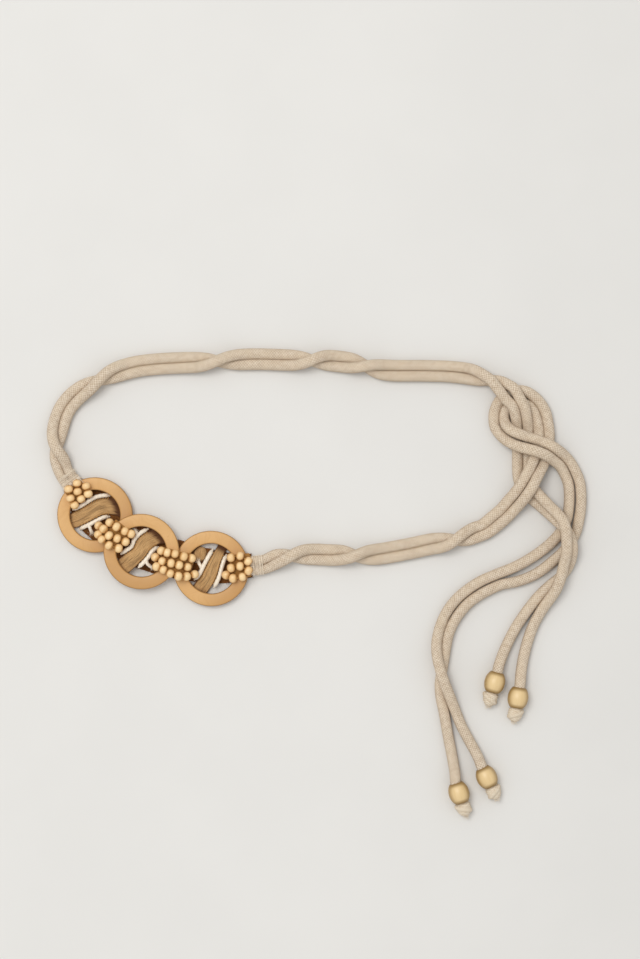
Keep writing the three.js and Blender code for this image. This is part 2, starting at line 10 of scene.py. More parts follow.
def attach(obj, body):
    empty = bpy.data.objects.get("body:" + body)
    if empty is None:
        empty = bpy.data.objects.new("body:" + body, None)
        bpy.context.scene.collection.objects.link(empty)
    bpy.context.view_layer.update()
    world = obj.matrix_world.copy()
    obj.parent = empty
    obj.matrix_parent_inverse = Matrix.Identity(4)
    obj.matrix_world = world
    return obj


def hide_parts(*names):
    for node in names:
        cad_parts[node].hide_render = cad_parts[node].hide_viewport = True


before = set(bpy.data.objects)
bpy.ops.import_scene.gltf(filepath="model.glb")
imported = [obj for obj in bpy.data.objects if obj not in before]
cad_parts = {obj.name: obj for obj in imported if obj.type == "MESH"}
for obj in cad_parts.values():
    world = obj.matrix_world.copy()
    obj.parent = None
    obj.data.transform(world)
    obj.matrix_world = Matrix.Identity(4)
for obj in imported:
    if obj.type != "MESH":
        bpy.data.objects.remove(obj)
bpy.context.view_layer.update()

random.seed(4)

# Camera. The photograph looks straight down at the table from far off. It is 959 pixels high, and
# one of its pixels is 0.78 mm on the table.
PIXEL = 0.00078
PHOTO_HEIGHT = 959 * PIXEL
PHOTO_MIDDLE = (0.1281, 0.0488)
CAMERA_HEIGHT = 2.4
camera = bpy.data.objects.new("camera", bpy.data.cameras.new("camera"))
camera.location = (*PHOTO_MIDDLE, CAMERA_HEIGHT)
camera.data.sensor_fit = "VERTICAL"
camera.data.sensor_height = 36
camera.data.lens = camera.data.sensor_height * CAMERA_HEIGHT / PHOTO_HEIGHT
bpy.context.scene.collection.objects.link(camera)
bpy.context.scene.camera = camera

# Ropes. Each is an undyed cotton cord of twenty yarns braided over and under, 8 mm thick. Two start
# in each whipping at the buckle, twist round each other to the knot, and part below it.
ROPE_RADIUS = 0.0041
ROPE_REST = 0.0042
PAIR_HALF = 0.0041
# A half turn of a pair counts as this height while its middle line is smoothed
TURN_WEIGHT = 0.02
# Both ropes of a pair are squeezed and raised inside their whipping, over a flat and a sloping run
WHIP_RISE = 0.0012
WHIP_SQUEEZE = 0.13
LEAD_FLAT = 0.009
LEAD_SLOPE = 0.026
SQUEEZE_SLOPE = 0.012

# Middle line of each pair, from the buckle towards the knot: x, y, half turns made so far
PAIR_LEFT = [
    (-0.0654, 0.0463, 0), (-0.0706, 0.0533, 0.04), (-0.074, 0.063, 0.22), (-0.0765, 0.0705, 0.42),
    (-0.077, 0.079, 0.62), (-0.0755, 0.0905, 0.84), (-0.0705, 0.104, 1), (-0.0615, 0.1145, 1.14),
    (-0.0505, 0.122, 1.34), (-0.0405, 0.1275, 1.56), (-0.0295, 0.1325, 1.78),
    (-0.0155, 0.1365, 1.95), (-0.0005, 0.1385, 2.02), (0.0165, 0.1395, 2.08), (0.033, 0.14, 2.22),
    (0.0485, 0.141, 2.5), (0.064, 0.142, 2.78), (0.078, 0.1425, 2.95), (0.097, 0.142, 3.07),
    (0.11, 0.1415, 3.24), (0.122, 0.1415, 3.5), (0.1335, 0.1415, 3.77), (0.1445, 0.1405, 4.02),
    (0.1545, 0.139, 4.27), (0.164, 0.137, 4.5), (0.175, 0.1345, 4.74), (0.1875, 0.1335, 4.92),
    (0.206, 0.1335, 5), (0.2265, 0.133, 5),
]
PAIR_RIGHT = [
    (0.076, -0.0183, 0), (0.0846, -0.0173, 0.05), (0.0945, -0.013, 0.25), (0.1055, -0.0105, 0.5),
    (0.1155, -0.0095, 0.73), (0.1255, -0.0095, 0.93), (0.1365, -0.01, 1.1), (0.146, -0.01, 1.28),
    (0.1555, -0.0105, 1.5), (0.1655, -0.01, 1.73), (0.1755, -0.009, 1.9), (0.1875, -0.007, 1.98),
    (0.2005, -0.0045, 2.02), (0.2145, -0.0015, 2.12), (0.225, 0, 2.3), (0.234, 0.002, 2.52),
    (0.242, 0.0045, 2.72), (0.249, 0.0075, 2.88),
]
# Each rope's own way through the knot and down its tail: x, y, height of its middle
ROPE_LEFT_A = [
    (0.2395, 0.1275, 0.0042), (0.2505, 0.126, 0.0042), (0.261, 0.126, 0.005),
    (0.269, 0.125, 0.0069), (0.274, 0.1225, 0.0099), (0.2785, 0.1195, 0.0121),
    (0.283, 0.112, 0.0125), (0.2865, 0.1055, 0.012), (0.2885, 0.0985, 0.0093),
    (0.2897, 0.091, 0.0056), (0.29, 0.083, 0.0044), (0.2902, 0.0725, 0.0043),
    (0.2902, 0.0625, 0.0044), (0.2906, 0.054, 0.0051), (0.2924, 0.046, 0.0068),
    (0.2962, 0.0394, 0.0092), (0.3012, 0.0336, 0.0108), (0.3064, 0.0281, 0.0119),
    (0.3119, 0.0225, 0.0161), (0.3158, 0.0172, 0.0192), (0.3179, 0.0115, 0.0205),
    (0.3187, 0.0055, 0.0201), (0.3191, -0.001, 0.0192), (0.3191, -0.007, 0.0174),
    (0.3183, -0.013, 0.0144), (0.3171, -0.0185, 0.0129), (0.3159, -0.024, 0.0124),
    (0.3143, -0.0296, 0.0118), (0.3122, -0.0351, 0.0106), (0.3089, -0.041, 0.0084),
    (0.3012, -0.052, 0.0052), (0.2945, -0.064, 0.0042), (0.2899, -0.0765, 0.0042),
    (0.2868, -0.0885, 0.0044), (0.285, -0.098, 0.0052),
]
ROPE_LEFT_B = [
    (0.2425, 0.1355, 0.0044), (0.249, 0.1335, 0.0079), (0.255, 0.13, 0.0115),
    (0.261, 0.1255, 0.0132), (0.267, 0.118, 0.0129), (0.272, 0.1115, 0.0122),
    (0.2775, 0.1055, 0.0122), (0.28, 0.0985, 0.0094), (0.2811, 0.0915, 0.0059),
    (0.2815, 0.084, 0.0043), (0.2819, 0.075, 0.0042), (0.2819, 0.0655, 0.0042),
    (0.282, 0.056, 0.0042), (0.2829, 0.0485, 0.0042), (0.286, 0.041, 0.0042),
    (0.2915, 0.035, 0.0042), (0.2972, 0.0302, 0.0042), (0.3027, 0.0254, 0.0042),
    (0.3082, 0.0204, 0.0073), (0.3129, 0.0159, 0.0108), (0.3173, 0.0116, 0.0123),
    (0.321, 0.0068, 0.0121), (0.3233, 0.001, 0.0125), (0.3242, -0.0055, 0.0112),
    (0.3236, -0.012, 0.008), (0.3218, -0.018, 0.0052), (0.3185, -0.0234, 0.0042),
    (0.314, -0.0282, 0.0042), (0.308, -0.033, 0.0042), (0.2989, -0.0415, 0.0042),
    (0.2893, -0.0534, 0.0042), (0.2812, -0.0654, 0.0042), (0.2748, -0.0773, 0.0042),
    (0.2699, -0.0885, 0.005), (0.2669, -0.097, 0.0073),
]
ROPE_RIGHT_A = [
    (0.2585, 0.007, 0.0042), (0.268, 0.014, 0.0046), (0.275, 0.0205, 0.0056),
    (0.281, 0.027, 0.0077), (0.287, 0.0345, 0.0132), (0.2926, 0.043, 0.016),
    (0.2973, 0.052, 0.0129), (0.3016, 0.06, 0.0086), (0.3045, 0.0685, 0.007),
    (0.306, 0.0765, 0.0054), (0.3065, 0.0845, 0.0042), (0.3055, 0.093, 0.0042),
    (0.3035, 0.1015, 0.0042), (0.2995, 0.1085, 0.0042), (0.2945, 0.1135, 0.0042),
    (0.289, 0.117, 0.0042), (0.283, 0.118, 0.0042), (0.277, 0.117, 0.0042), (0.272, 0.1145, 0.0042),
    (0.2675, 0.1095, 0.0042), (0.2645, 0.1035, 0.0042), (0.2635, 0.097, 0.0042),
    (0.2645, 0.0895, 0.0046), (0.269, 0.083, 0.0056), (0.275, 0.078, 0.0098),
    (0.282, 0.0745, 0.0132), (0.289, 0.0725, 0.016), (0.296, 0.0705, 0.0183),
    (0.3035, 0.0675, 0.016), (0.309, 0.064, 0.011), (0.3145, 0.0595, 0.0075),
    (0.3185, 0.053, 0.005), (0.3214, 0.0455, 0.0042), (0.3222, 0.0365, 0.0042),
    (0.3218, 0.027, 0.0042), (0.3204, 0.0185, 0.0042), (0.317, 0.0105, 0.0042),
    (0.3118, 0.0034, 0.0042), (0.3035, -0.0044, 0.0042), (0.2924, -0.0123, 0.0042),
    (0.2795, -0.0194, 0.0042), (0.2659, -0.0248, 0.0042), (0.2535, -0.0302, 0.0042),
    (0.2434, -0.0366, 0.0042), (0.2343, -0.0444, 0.0042), (0.2266, -0.0546, 0.0042),
    (0.2216, -0.066, 0.0045), (0.219, -0.077, 0.0066), (0.219, -0.087, 0.0095),
    (0.221, -0.097, 0.0121), (0.2244, -0.108, 0.0119), (0.2287, -0.119, 0.009),
    (0.2333, -0.131, 0.005), (0.2382, -0.143, 0.0042), (0.2442, -0.1544, 0.0043),
    (0.251, -0.167, 0.0054),
]
ROPE_RIGHT_B = [
    (0.254, 0.0135, 0.0042), (0.262, 0.02, 0.0043), (0.269, 0.026, 0.0048), (0.274, 0.032, 0.0066),
    (0.2795, 0.0385, 0.0103), (0.2842, 0.045, 0.0126), (0.2888, 0.0535, 0.0132),
    (0.2928, 0.0615, 0.0121), (0.296, 0.0695, 0.0097), (0.2979, 0.0775, 0.0072),
    (0.2983, 0.085, 0.0048), (0.2974, 0.0925, 0.0042), (0.2953, 0.0995, 0.0042),
    (0.2914, 0.1053, 0.0042), (0.286, 0.108, 0.0042), (0.2805, 0.108, 0.0042),
    (0.2756, 0.106, 0.0042), (0.2722, 0.1015, 0.0044), (0.2715, 0.0965, 0.0054),
    (0.2728, 0.091, 0.0084), (0.2767, 0.087, 0.0123), (0.282, 0.0845, 0.0136),
    (0.2885, 0.082, 0.0125), (0.294, 0.0803, 0.0122), (0.2995, 0.0783, 0.012),
    (0.3055, 0.076, 0.0139), (0.3115, 0.0725, 0.0123), (0.3175, 0.068, 0.0076),
    (0.323, 0.062, 0.0048), (0.3273, 0.0545, 0.0042), (0.3302, 0.047, 0.0042),
    (0.3313, 0.0375, 0.0042), (0.3312, 0.028, 0.0042), (0.3299, 0.0185, 0.0042),
    (0.3273, 0.008, 0.0042), (0.3228, -0.0005, 0.0042), (0.3165, -0.0083, 0.0042),
    (0.308, -0.0159, 0.0042), (0.2997, -0.0224, 0.0042), (0.2905, -0.0274, 0.0042),
    (0.28, -0.0309, 0.0042), (0.2695, -0.033, 0.0042), (0.2608, -0.0366, 0.0042),
    (0.2512, -0.0419, 0.0042), (0.2429, -0.0482, 0.0042), (0.2362, -0.056, 0.0042),
    (0.231, -0.0645, 0.0042), (0.2278, -0.073, 0.0042), (0.226, -0.082, 0.0042),
    (0.2246, -0.091, 0.0042), (0.2229, -0.101, 0.0042), (0.2216, -0.111, 0.0042),
    (0.2223, -0.121, 0.0042), (0.2246, -0.132, 0.0042), (0.2266, -0.1435, 0.0042),
    (0.2287, -0.155, 0.0042), (0.2312, -0.168, 0.0048), (0.2331, -0.18, 0.007),
]
BEAD_RADIUS = 0.008
BEAD_HALF = 0.0081
# Number and middle of each rope's end bead, and the way that its rope points there in degrees
TAILS = {
    "rope_left_a": (2, 0.282, -0.1208, -99),
    "rope_left_b": (1, 0.2639, -0.1089, -105),
    "rope_right_a": (4, 0.2577, -0.1826, -64),
    "rope_right_b": (3, 0.2361, -0.1948, -72),
}
# Each rope's pair, its side of the pair's middle line, its own route, and its length from its
# whipping to its knot as the photograph shows it
PAIRS = {"left": PAIR_LEFT, "right": PAIR_RIGHT}
ROPES = {
    "rope_left_a": ("left", 1, ROPE_LEFT_A, 0.712),
    "rope_left_b": ("left", -1, ROPE_LEFT_B, 0.714),
    "rope_right_a": ("right", 1, ROPE_RIGHT_A, 0.753),
    "rope_right_b": ("right", -1, ROPE_RIGHT_B, 0.726),
}
UP = Vector((0, 0, 1))
# Steps to a span of a curve, and the angle in degrees from which an edge looks sharp
CURVE_STEPS = 24
SHARP_EDGE = 60


def curve(start, end, leave, arrive, t):
    """Place at t from 0 to 1 on a curve that leaves its start and reaches its end in given ways."""
    return (
        (2 * t**3 - 3 * t**2 + 1) * start
        + (t**3 - 2 * t**2 + t) * leave
        + (3 * t**2 - 2 * t**3) * end
        + (t**3 - t**2) * arrive
    )


def on_path(points, span):
    """Place on the smooth curve through the points, a whole number of spans being a point."""
    i = min(int(span), len(points) - 2)
    t = span - i
    before = points[i - 1] if i else 2 * points[0] - points[1]
    start, end = points[i], points[i + 1]
    after = points[i + 2] if i + 2 < len(points) else 2 * end - start
    legs = (start - before, end - start, after - end)
    d0, d1, d2 = (math.sqrt(leg.length) for leg in legs)
    leave = ((start - before) / d0 - (end - before) / (d0 + d1) + (end - start) / d1) * d1
    arrive = ((end - start) / d1 - (after - start) / (d1 + d2) + (after - end) / d2) * d1
    return curve(start, end, leave, arrive, t)


def path_way(points, span):
    """Way that the smooth curve through the points runs at a span, of no set length."""
    back, on = (min(max(span + step, 0), len(points) - 1) for step in (-0.003, 0.003))
    return on_path(points, on) - on_path(points, back)


def even_steps(points, step):
    """The smooth curve through the points as places about a step apart, and its length."""
    fine = [on_path(points, i / CURVE_STEPS) for i in range(CURVE_STEPS * (len(points) - 1) + 1)]
    lengths = [0.0]
    for a, b in zip(fine, fine[1:]):
        lengths.append(lengths[-1] + (b - a).length)
    count = max(round(lengths[-1] / step), 2)
    places, k = [], 0
    for i in range(count + 1):
        run = lengths[-1] * i / count
        while k < len(fine) - 2 and lengths[k + 1] < run:
            k += 1
        part = (run - lengths[k]) / (lengths[k + 1] - lengths[k])
        places.append(fine[k].lerp(fine[k + 1], part))
    return places, lengths[-1]


def smoothstep(value, low, high):
    t = min(max((value - low) / (high - low), 0), 1)
    return t * t * (3 - 2 * t)


def left_of(along):
    return Vector((-along.y, along.x, 0)).normalized()


def heading(degrees):
    return Vector((math.cos(math.radians(degrees)), math.sin(math.radians(degrees)), 0))


def pair_rope(rows, side):
    """Points of one rope of a twisted pair. The upper one rises over the other, which lies low."""
    middle = [Vector((x, y, TURN_WEIGHT * turns)) for x, y, turns in rows]
    points, run, last = [], 0, None
    for i in range(2 * len(rows) - 1):
        at = on_path(middle, i / 2)
        turn = -math.pi * at.z / TURN_WEIGHT
        lift = math.sin(turn) * side
        run += (at.xy - last.xy).length if last else 0
        last = at
        lead = 1 - smoothstep(run, LEAD_FLAT, LEAD_FLAT + LEAD_SLOPE)
        half = PAIR_HALF * (1 - WHIP_SQUEEZE * lead)
        aside = half * math.cos(turn) * math.sqrt(1 + lift**2) * side
        over = 2 * PAIR_HALF * lift**2 if lift > 0 else 0
        place = at + left_of(path_way(middle, i / 2)) * aside
        points.append(Vector((place.x, place.y, ROPE_REST + over + WHIP_RISE * lead)))
    return points


def frames_along(places, up=UP):
    """A side and an upward direction at each place, which turn no more than the line does."""
    result, above = [], up
    for i, place in enumerate(places):
        along = (places[min(i + 1, len(places) - 1)] - places[max(i - 1, 0)]).normalized()
        above = (above - along * above.dot(along)).normalized()
        result.append((above.cross(along), above))
    return result


def spoke(side, above, angle):
    """Way out from a line at an angle round it, from its side and its upward direction there."""
    return side * math.cos(angle) + above * math.sin(angle)


def piece(name, skins, material, stands_for=None):
    """One mesh of closed skins. A skin is its rings of points, True where the last ring meets the
    first, and a function that gives the texture coordinates of ring i at side j."""
    points, faces, marks = [], [], []
    for rings, joined, mark in skins:
        first, sides, count = len(points), len(rings[0]), len(rings)
        points += [p for ring in rings for p in ring]
        skin, skin_marks = [], []
        for i in range(count if joined else count - 1):
            for j in range(sides):
                corners = ((i, j), (i, j + 1), (i + 1, j + 1), (i + 1, j))
                skin.append([first + (a % count) * sides + b % sides for a, b in corners])
                skin_marks.append([mark(a, b) for a, b in corners])
        if not joined:
            for i, order in ((0, -1), (count - 1, 1)):
                ends = list(range(sides))[::order]
                skin.append([first + i * sides + j for j in ends])
                skin_marks.append([mark(i, j) for j in ends])
        volume = sum(
            points[f[0]].dot(points[f[k]].cross(points[f[k + 1]]))
            for f in skin for k in range(1, len(f) - 1)
        )
        if volume < 0:
            skin = [f[::-1] for f in skin]
            skin_marks = [m[::-1] for m in skin_marks]
        faces += skin
        marks += [at for face in skin_marks for at in face]
    mesh = bpy.data.meshes.new(name)
    mesh.from_pydata(points, [], faces)
    layer = mesh.uv_layers.new(name="weave")
    layer.uv.foreach_set("vector", [value for at in marks for value in at])
    mesh.shade_smooth()
    mesh.set_sharp_from_angle(angle=math.radians(SHARP_EDGE))
    mesh.materials.append(material)
    made = bpy.data.objects.new(name, mesh)
    bpy.context.scene.collection.objects.link(made)
    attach(made, "root")
    if stands_for:
        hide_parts(stands_for)
    return made


class Wire:
    """One output of a shader node. Arithmetic on it adds Math nodes, and node() any other node."""

    def __init__(self, tree, socket):
        self.tree, self.socket = tree, socket

    def node(self, kind, settings=(), sockets=(), output=0):
        made = self.tree.nodes.new("ShaderNode" + kind)
        for name, value in dict(settings).items():
            setattr(made, name, value)
        for name, value in dict(sockets).items():
            if isinstance(value, Wire):
                self.tree.links.new(value.socket, made.inputs[name])
            else:
                made.inputs[name].default_value = value
        return Wire(self.tree, made.outputs[output])

    def maths(self, operation, *others):
        return self.node("Math", {"operation": operation}, dict(enumerate((self, *others))))

    def __add__(self, other):
        return self.maths("ADD", other)

    def __sub__(self, other):
        return self.maths("SUBTRACT", other)

    def __mul__(self, other):
        return self.maths("MULTIPLY", other)

    def __rsub__(self, other):
        return self * -1 + other

    def __mod__(self, other):
        return self.maths("FLOORED_MODULO", other)

    def __abs__(self):
        return self.maths("ABSOLUTE")

    __radd__ = __add__
    __rmul__ = __mul__

    def between(self, low, high):
        """0 below low, 1 above high, and smooth between them; the other way round if low > high."""
        return self.node(
            "MapRange",
            {"interpolation_type": "SMOOTHSTEP"},
            {"Value": self, "From Min": low, "From Max": high},
        )

    def blend(self, low, high):
        """Mixes two colours by this value. They are the Mix node's sockets 6 and 7."""
        return self.node("Mix", {"data_type": "RGBA"}, {0: self, 6: low, 7: high}, output=2)

    def stretch(self, x, y, z):
        return self.node("VectorMath", {"operation": "MULTIPLY"}, {0: self, 1: (x, y, z)})

    def cloud(self, scale, detail=3, roughness=0.55):
        """Noise from 0 to 1 at a number of lumps per metre, or per unit of a texture coordinate."""
        sockets = {"Vector": self, "Scale": scale, "Detail": detail, "Roughness": roughness}
        return self.node("TexNoise", sockets=sockets)

    def parts(self):
        return [self.node("SeparateXYZ", sockets={0: self}, output=i) for i in range(3)]


def colour(red, green, blue):
    """Linear colour from its values on a screen, 0 to 255."""
    return tuple(((c / 255 + 0.055) / 1.055) ** 2.4 for c in (red, green, blue)) + (1,)


def finish(name):
    """A new material, and the wires of its place in metres and of its texture coordinates."""
    material = bpy.data.materials.new(name)
    material.use_nodes = True
    tree = material.node_tree
    place = Wire(tree, tree.nodes.new("ShaderNodeTexCoord").outputs["Object"])
    weave = place.node("UVMap", {"uv_map": "weave"})
    return material, place, weave


def surface(material, sockets, bump=None, depth=0.0001, strength=1.0):
    """Sets the sockets of the material's shader, with a height in the bump of a depth in metres."""
    tree = material.node_tree
    shader = tree.nodes["Principled BSDF"]
    for name, value in sockets.items():
        if isinstance(value, Wire):
            tree.links.new(value.socket, shader.inputs[name])
        else:
            shader.inputs[name].default_value = value
    if bump:
        relief = {"Height": bump, "Distance": depth, "Strength": strength}
        tree.links.new(bump.node("Bump", sockets=relief).socket, shader.inputs["Normal"])


# The braid: ten yarns each way, three mesh steps across a yarn, one turn round it in 21 mm
YARNS = 10
YARN_STEPS = 3
BRAID_TURN = 0.021
BRAID_RELIEF = 0.0003
ROPE_FLAT = 1.035
# Loose fibres on each rope, and the least heights of its skin and of a fibre over the table
FIBRES = 1600
FIBRE_LENGTH = 0.0012
FIBRE_RADIUS = 0.00005
SKIN_CLEAR = 0.00003
FIBRE_CLEAR = 0.00005


def yarn_height(a, b):
    """Height from 0 to 1 of the upper yarn where two cross. A whole number is at a yarn's edge."""
    across, along = a % 1, b % 1
    if (math.floor(a) + math.floor(b)) % 2:
        across, along = along, across
    return math.sqrt(math.sin(math.pi * across)) * (0.45 + 0.55 * math.sin(math.pi * along))


def braid(places, radii, yarns=YARNS, relief=BRAID_RELIEF):
    """A braided skin along evenly spaced places, with its yarns' numbers as texture coordinates."""
    sides = YARN_STEPS * yarns
    rings = []
    for i, (place, (side, above)) in enumerate(zip(places, frames_along(places))):
        ring = []
        for j in range(sides):
            lift = relief * (yarn_height((j + i) / YARN_STEPS, (j - i) / YARN_STEPS) - 0.4)
            angle = 2 * math.pi * j / sides
            at = place + (radii[i] + lift) * spoke(side * ROPE_FLAT, above, angle)
            ring.append(Vector((at.x, at.y, max(at.z, SKIN_CLEAR))))
        rings.append(ring)

    def mark(i, j):
        return (j + i) / YARN_STEPS, (j - i) / YARN_STEPS
    return rings, False, mark


def stray(reach):
    """A random vector, up to a reach each way along every axis."""
    return Vector([random.uniform(-reach, reach) for _ in range(3)])


def hair(root, way, length, thickness=0.00008, steps=3):
    """A loose fibre that leaves its root along a way and curls aside, as a three-sided skin."""
    curl = stray(1)
    rings = []
    for i in range(steps + 1):
        part = i / steps
        at = root + length * (way * part + curl * 0.4 * part**2)
        reach = thickness * (1 - 0.7 * part)
        side, above = frames_along([at, at + way + curl * 0.8 * part])[0]
        rings.append([at + reach * spoke(side, above, 2 * math.pi * j / 3) for j in range(3)])

    def mark(i, j):
        return 0.5, 0.5
    return rings, False, mark


def above_table(fibres):
    """The fibres that nowhere reach down to the table."""
    kept = []
    for fibre in fibres:
        if min(at.z for ring in fibre[0] for at in ring) > FIBRE_CLEAR:
            kept.append(fibre)
    return kept


def fuzz(places, radii, count, longest):
    """Loose fibres that stand off a cord all round."""
    frames = frames_along(places)
    fibres = []
    for _ in range(count):
        k = random.randrange(len(places) - 1)
        out = spoke(*frames[k], random.uniform(0, 2 * math.pi))
        way = (out + stray(1)).normalized()
        root = places[k] + out * radii[k]
        fibres.append(hair(root, way, random.uniform(0.3, 1) * longest, FIBRE_RADIUS))
    return above_table(fibres)


def painted_side_shade(place, low, high):
    """Painted shade: 1 where a surface faces sideways or down, away from the light, 0 where it faces
    up.
    Low and high are heights of the surface's normal, and place only leads to the material's nodes."""
    normal = place.node("NewGeometry", output=1)
    return normal.parts()[2].between(high, low)


def cotton(name, high, low, soil):
    """Braided cotton: pale yarns of several plies, darker between them, with fine fibres. High and
    low are its palest and darkest colours, and soil is that of the places that hands have worn."""
    material, place, weave = finish(name)
    a, b, _ = weave.parts()
    turned = (a.maths("FLOOR") + b.maths("FLOOR")) % 2
    across = (a % 1) + turned * ((b % 1) - (a % 1))
    along = (b % 1) + turned * ((a % 1) - (b % 1))
    crown = (across * math.pi).maths("SINE") * (0.5 + 0.5 * (along * math.pi).maths("SINE"))
    plies = (across * (6 * math.pi) + along * 3).maths("SINE") * 0.5 + 0.5
    fibre = place.cloud(2600, 4, 0.7)
    tone = place.cloud(90, 4)
    slack = place.cloud(420, 3)
    # The grooves between the yarns are darker: partly dirt and partly painted shade
    shade = crown.between(0.05, 0.7) * 0.48 + plies * 0.08 + fibre.between(0.3, 0.7) * 0.18
    shade = shade + slack.between(0.3, 0.7) * 0.26
    base = shade.blend(colour(*low), colour(*high))
    base = (tone.between(0.4, 0.7) * 0.4).blend(base, colour(*soil))
    surface(
        material,
        {
            # Painted shade: the cord's sides, which face away from the light, blend to its darkest
            # colour
            "Base Color": (painted_side_shade(place, -0.2, 0.75) * 0.55).blend(base, colour(*low)),
            "Roughness": 0.95,
            "Specular IOR Level": 0.15,
            "Sheen Weight": 0.12,
            "Sheen Roughness": 0.6,
        },
        crown * 0.4 + plies * 0.2 + fibre * 0.4 + slack * 0.5,
        depth=0.0004,
        strength=0.8,
    )
    return material


rope_cotton = cotton("rope_cotton", (243, 230, 211), (161, 130, 92), (224, 205, 179))
rope_lines = {}
for name, (pair, side, route, _) in ROPES.items():
    _, x, y, way = TAILS[name]
    seat = [Vector((x, y, BEAD_RADIUS)) + heading(way) * reach for reach in (-BEAD_HALF, BEAD_HALF)]
    points = pair_rope(PAIRS[pair], side) + [Vector(row) for row in route] + seat
    places, length = even_steps(points, BRAID_TURN / (YARN_STEPS * YARNS))
    radii = []
    for i in range(len(places)):
        run = length * i / (len(places) - 1)
        freed = smoothstep(run, LEAD_FLAT, LEAD_FLAT + SQUEEZE_SLOPE)
        radii.append(ROPE_RADIUS * (1 - WHIP_SQUEEZE * (1 - freed)))
    skins = [braid(places, radii)] + fuzz(places, radii, FIBRES, FIBRE_LENGTH)
    rope = piece(f"{name}_cotton", skins, rope_cotton, name)
    rope_lines[name] = (rope, places)

# Whippings. Pale thread, wound loosely and unevenly round both ropes of a pair, holds them side by
# side where they leave the buckle. Its turns lie askew over each other, and loose fibres stand off.
WHIP_LENGTH = 0.008
WHIP_TURNS = 8
WHIP_STEPS = 44
WHIP_LAYERS = 2
WHIP_EDGE = 0.0002
WHIP_THREAD = 0.00024
WHIP_SQUEEZED = 1 - WHIP_SQUEEZE
LINT = 160
LOOSE_ENDS = 110


def round_pair(half, radius, turn):
    """A place on a line wound round two circles side by side, across and up, and the way out there.
    A whole number of turns is at the bottom in the middle."""
    straight, bend = 2 * half, math.pi * radius
    run = (turn % 1) * 2 * (straight + bend) - straight / 2
    mirrored = 1
    if run >= straight / 2 + bend:
        mirrored, run = -1, run - straight - bend
    if run < 0:
        return mirrored * (half + run), -radius * mirrored, 0, -mirrored
    if run < bend:
        angle = run / radius - math.pi / 2
        out, up = mirrored * math.cos(angle), mirrored * math.sin(angle)
        return mirrored * half + radius * out, radius * up, out, up
    return mirrored * (half - (run - bend)), mirrored * radius, 0, mirrored


def twisted(places, radius, plies, lay, thin_ends=0.0, sides=10):
    """A smooth cord or thread of plies laid round each other, thinner at both ends."""
    rings = []
    run = 0
    for i, (place, (side, above)) in enumerate(zip(places, frames_along(places))):
        run += (place - places[i - 1]).length if i else 0
        part = i / (len(places) - 1)
        thin = 1 - thin_ends * (1 - smoothstep(min(part, 1 - part), 0, 0.12))
        ring = []
        for j in range(sides):
            angle = 2 * math.pi * j / sides
            ply = abs(math.cos(plies / 2 * angle + run / lay * math.pi))
            ring.append(place + radius * thin * (0.88 + 0.12 * ply) * spoke(side, above, angle))
        rings.append(ring)

    def mark(i, j):
        return j / sides, i / (len(places) - 1) * run / lay
    return rings, False, mark


def thread_finish(name, low, high, roughness, coat):
    """Twisted thread: plies slanting round it, with fine floss along them."""
    material, place, weave = finish(name)
    u, v, _ = weave.parts()
    plies = ((u * 3 + v) * (2 * math.pi)).maths("SINE") * 0.5 + 0.5
    floss = weave.stretch(24, 1.6, 1).cloud(1, 3)
    lint = place.cloud(900, 4)
    tone = plies * 0.3 + floss.between(0.3, 0.7) * 0.3 + lint.between(0.3, 0.7) * 0.4
    surface(
        material,
        {
            "Base Color": tone.blend(colour(*low), colour(*high)),
            "Roughness": roughness,
            "Sheen Weight": 0.2,
            "Coat Weight": coat,
            "Coat Roughness": 0.3,
        },
        plies * 0.5 + floss * 0.3 + lint * 0.2,
    )
    return material


whipping_thread = thread_finish("whipping_thread", (222, 201, 172), (255, 245, 228), 0.45, 0.2)
for pair, rows in PAIRS.items():
    start = Vector((rows[0][0], rows[0][1], ROPE_REST + WHIP_RISE))
    way = Vector((rows[1][0] - rows[0][0], rows[1][1] - rows[0][1], 0)).normalized()
    left = left_of(way)
    half, bore = PAIR_HALF * WHIP_SQUEEZED, ROPE_RADIUS * WHIP_SQUEEZED + WHIP_THREAD

    def wound(turn, along, lift=0.0):
        """A place in the winding: its turn, how far along the ropes it is, and how slack."""
        across, above, out_x, out_z = round_pair(half, bore, turn)
        return start + way * along + left * (across + out_x * lift) + UP * (above + out_z * lift)

    # Two layers of turns, each askew in its own way
    skins = []
    steps = WHIP_STEPS * WHIP_TURNS
    for layer in range(WHIP_LAYERS):
        line = []
        for i in range(steps + 1):
            turn = i / WHIP_STEPS
            askew = noise.noise(Vector((turn * 0.9, layer * 7, rows[0][0] * 50))) * 0.0011
            slack = noise.noise(Vector((turn * 1.7, layer * 5, 3))) * 0.5 + 0.5
            along = WHIP_LENGTH * (0.04 + 0.92 * i / steps) + askew
            along = min(max(along, WHIP_EDGE), WHIP_LENGTH - WHIP_EDGE)
            line.append(wound(turn + layer / 2, along, 0.00016 * layer + 0.00022 * slack))
        skins.append(twisted(line, WHIP_THREAD * (1 - 0.15 * layer), 2, 0.0014, sides=8))
    # Lint that stands off the turns, and loose ends that lie towards the beads
    for _ in range(LINT):
        turn = random.uniform(0.2, 0.8)
        along = random.uniform(0.0004, WHIP_LENGTH - 0.0004)
        root = wound(turn, along)
        out = wound(turn, along, 0.001) - root + way * random.uniform(-0.0012, 0.0012)
        skins.append(hair(root, out.normalized(), random.uniform(0.0008, 0.0022), 0.00006))
    for _ in range(LOOSE_ENDS):
        root = wound(random.uniform(0.27, 0.73), 0.0008, 0.0001)
        out = left * random.uniform(-0.35, 0.35) + UP * random.uniform(-0.03, 0.1) - way
        length = random.uniform(0.0025, 0.0055)
        skins.append(hair(root, out.normalized(), length, random.uniform(0.00012, 0.00024), 4))
    whipping = f"whipping_{pair}"
    piece(f"{whipping}_thread", skins, whipping_thread, whipping)
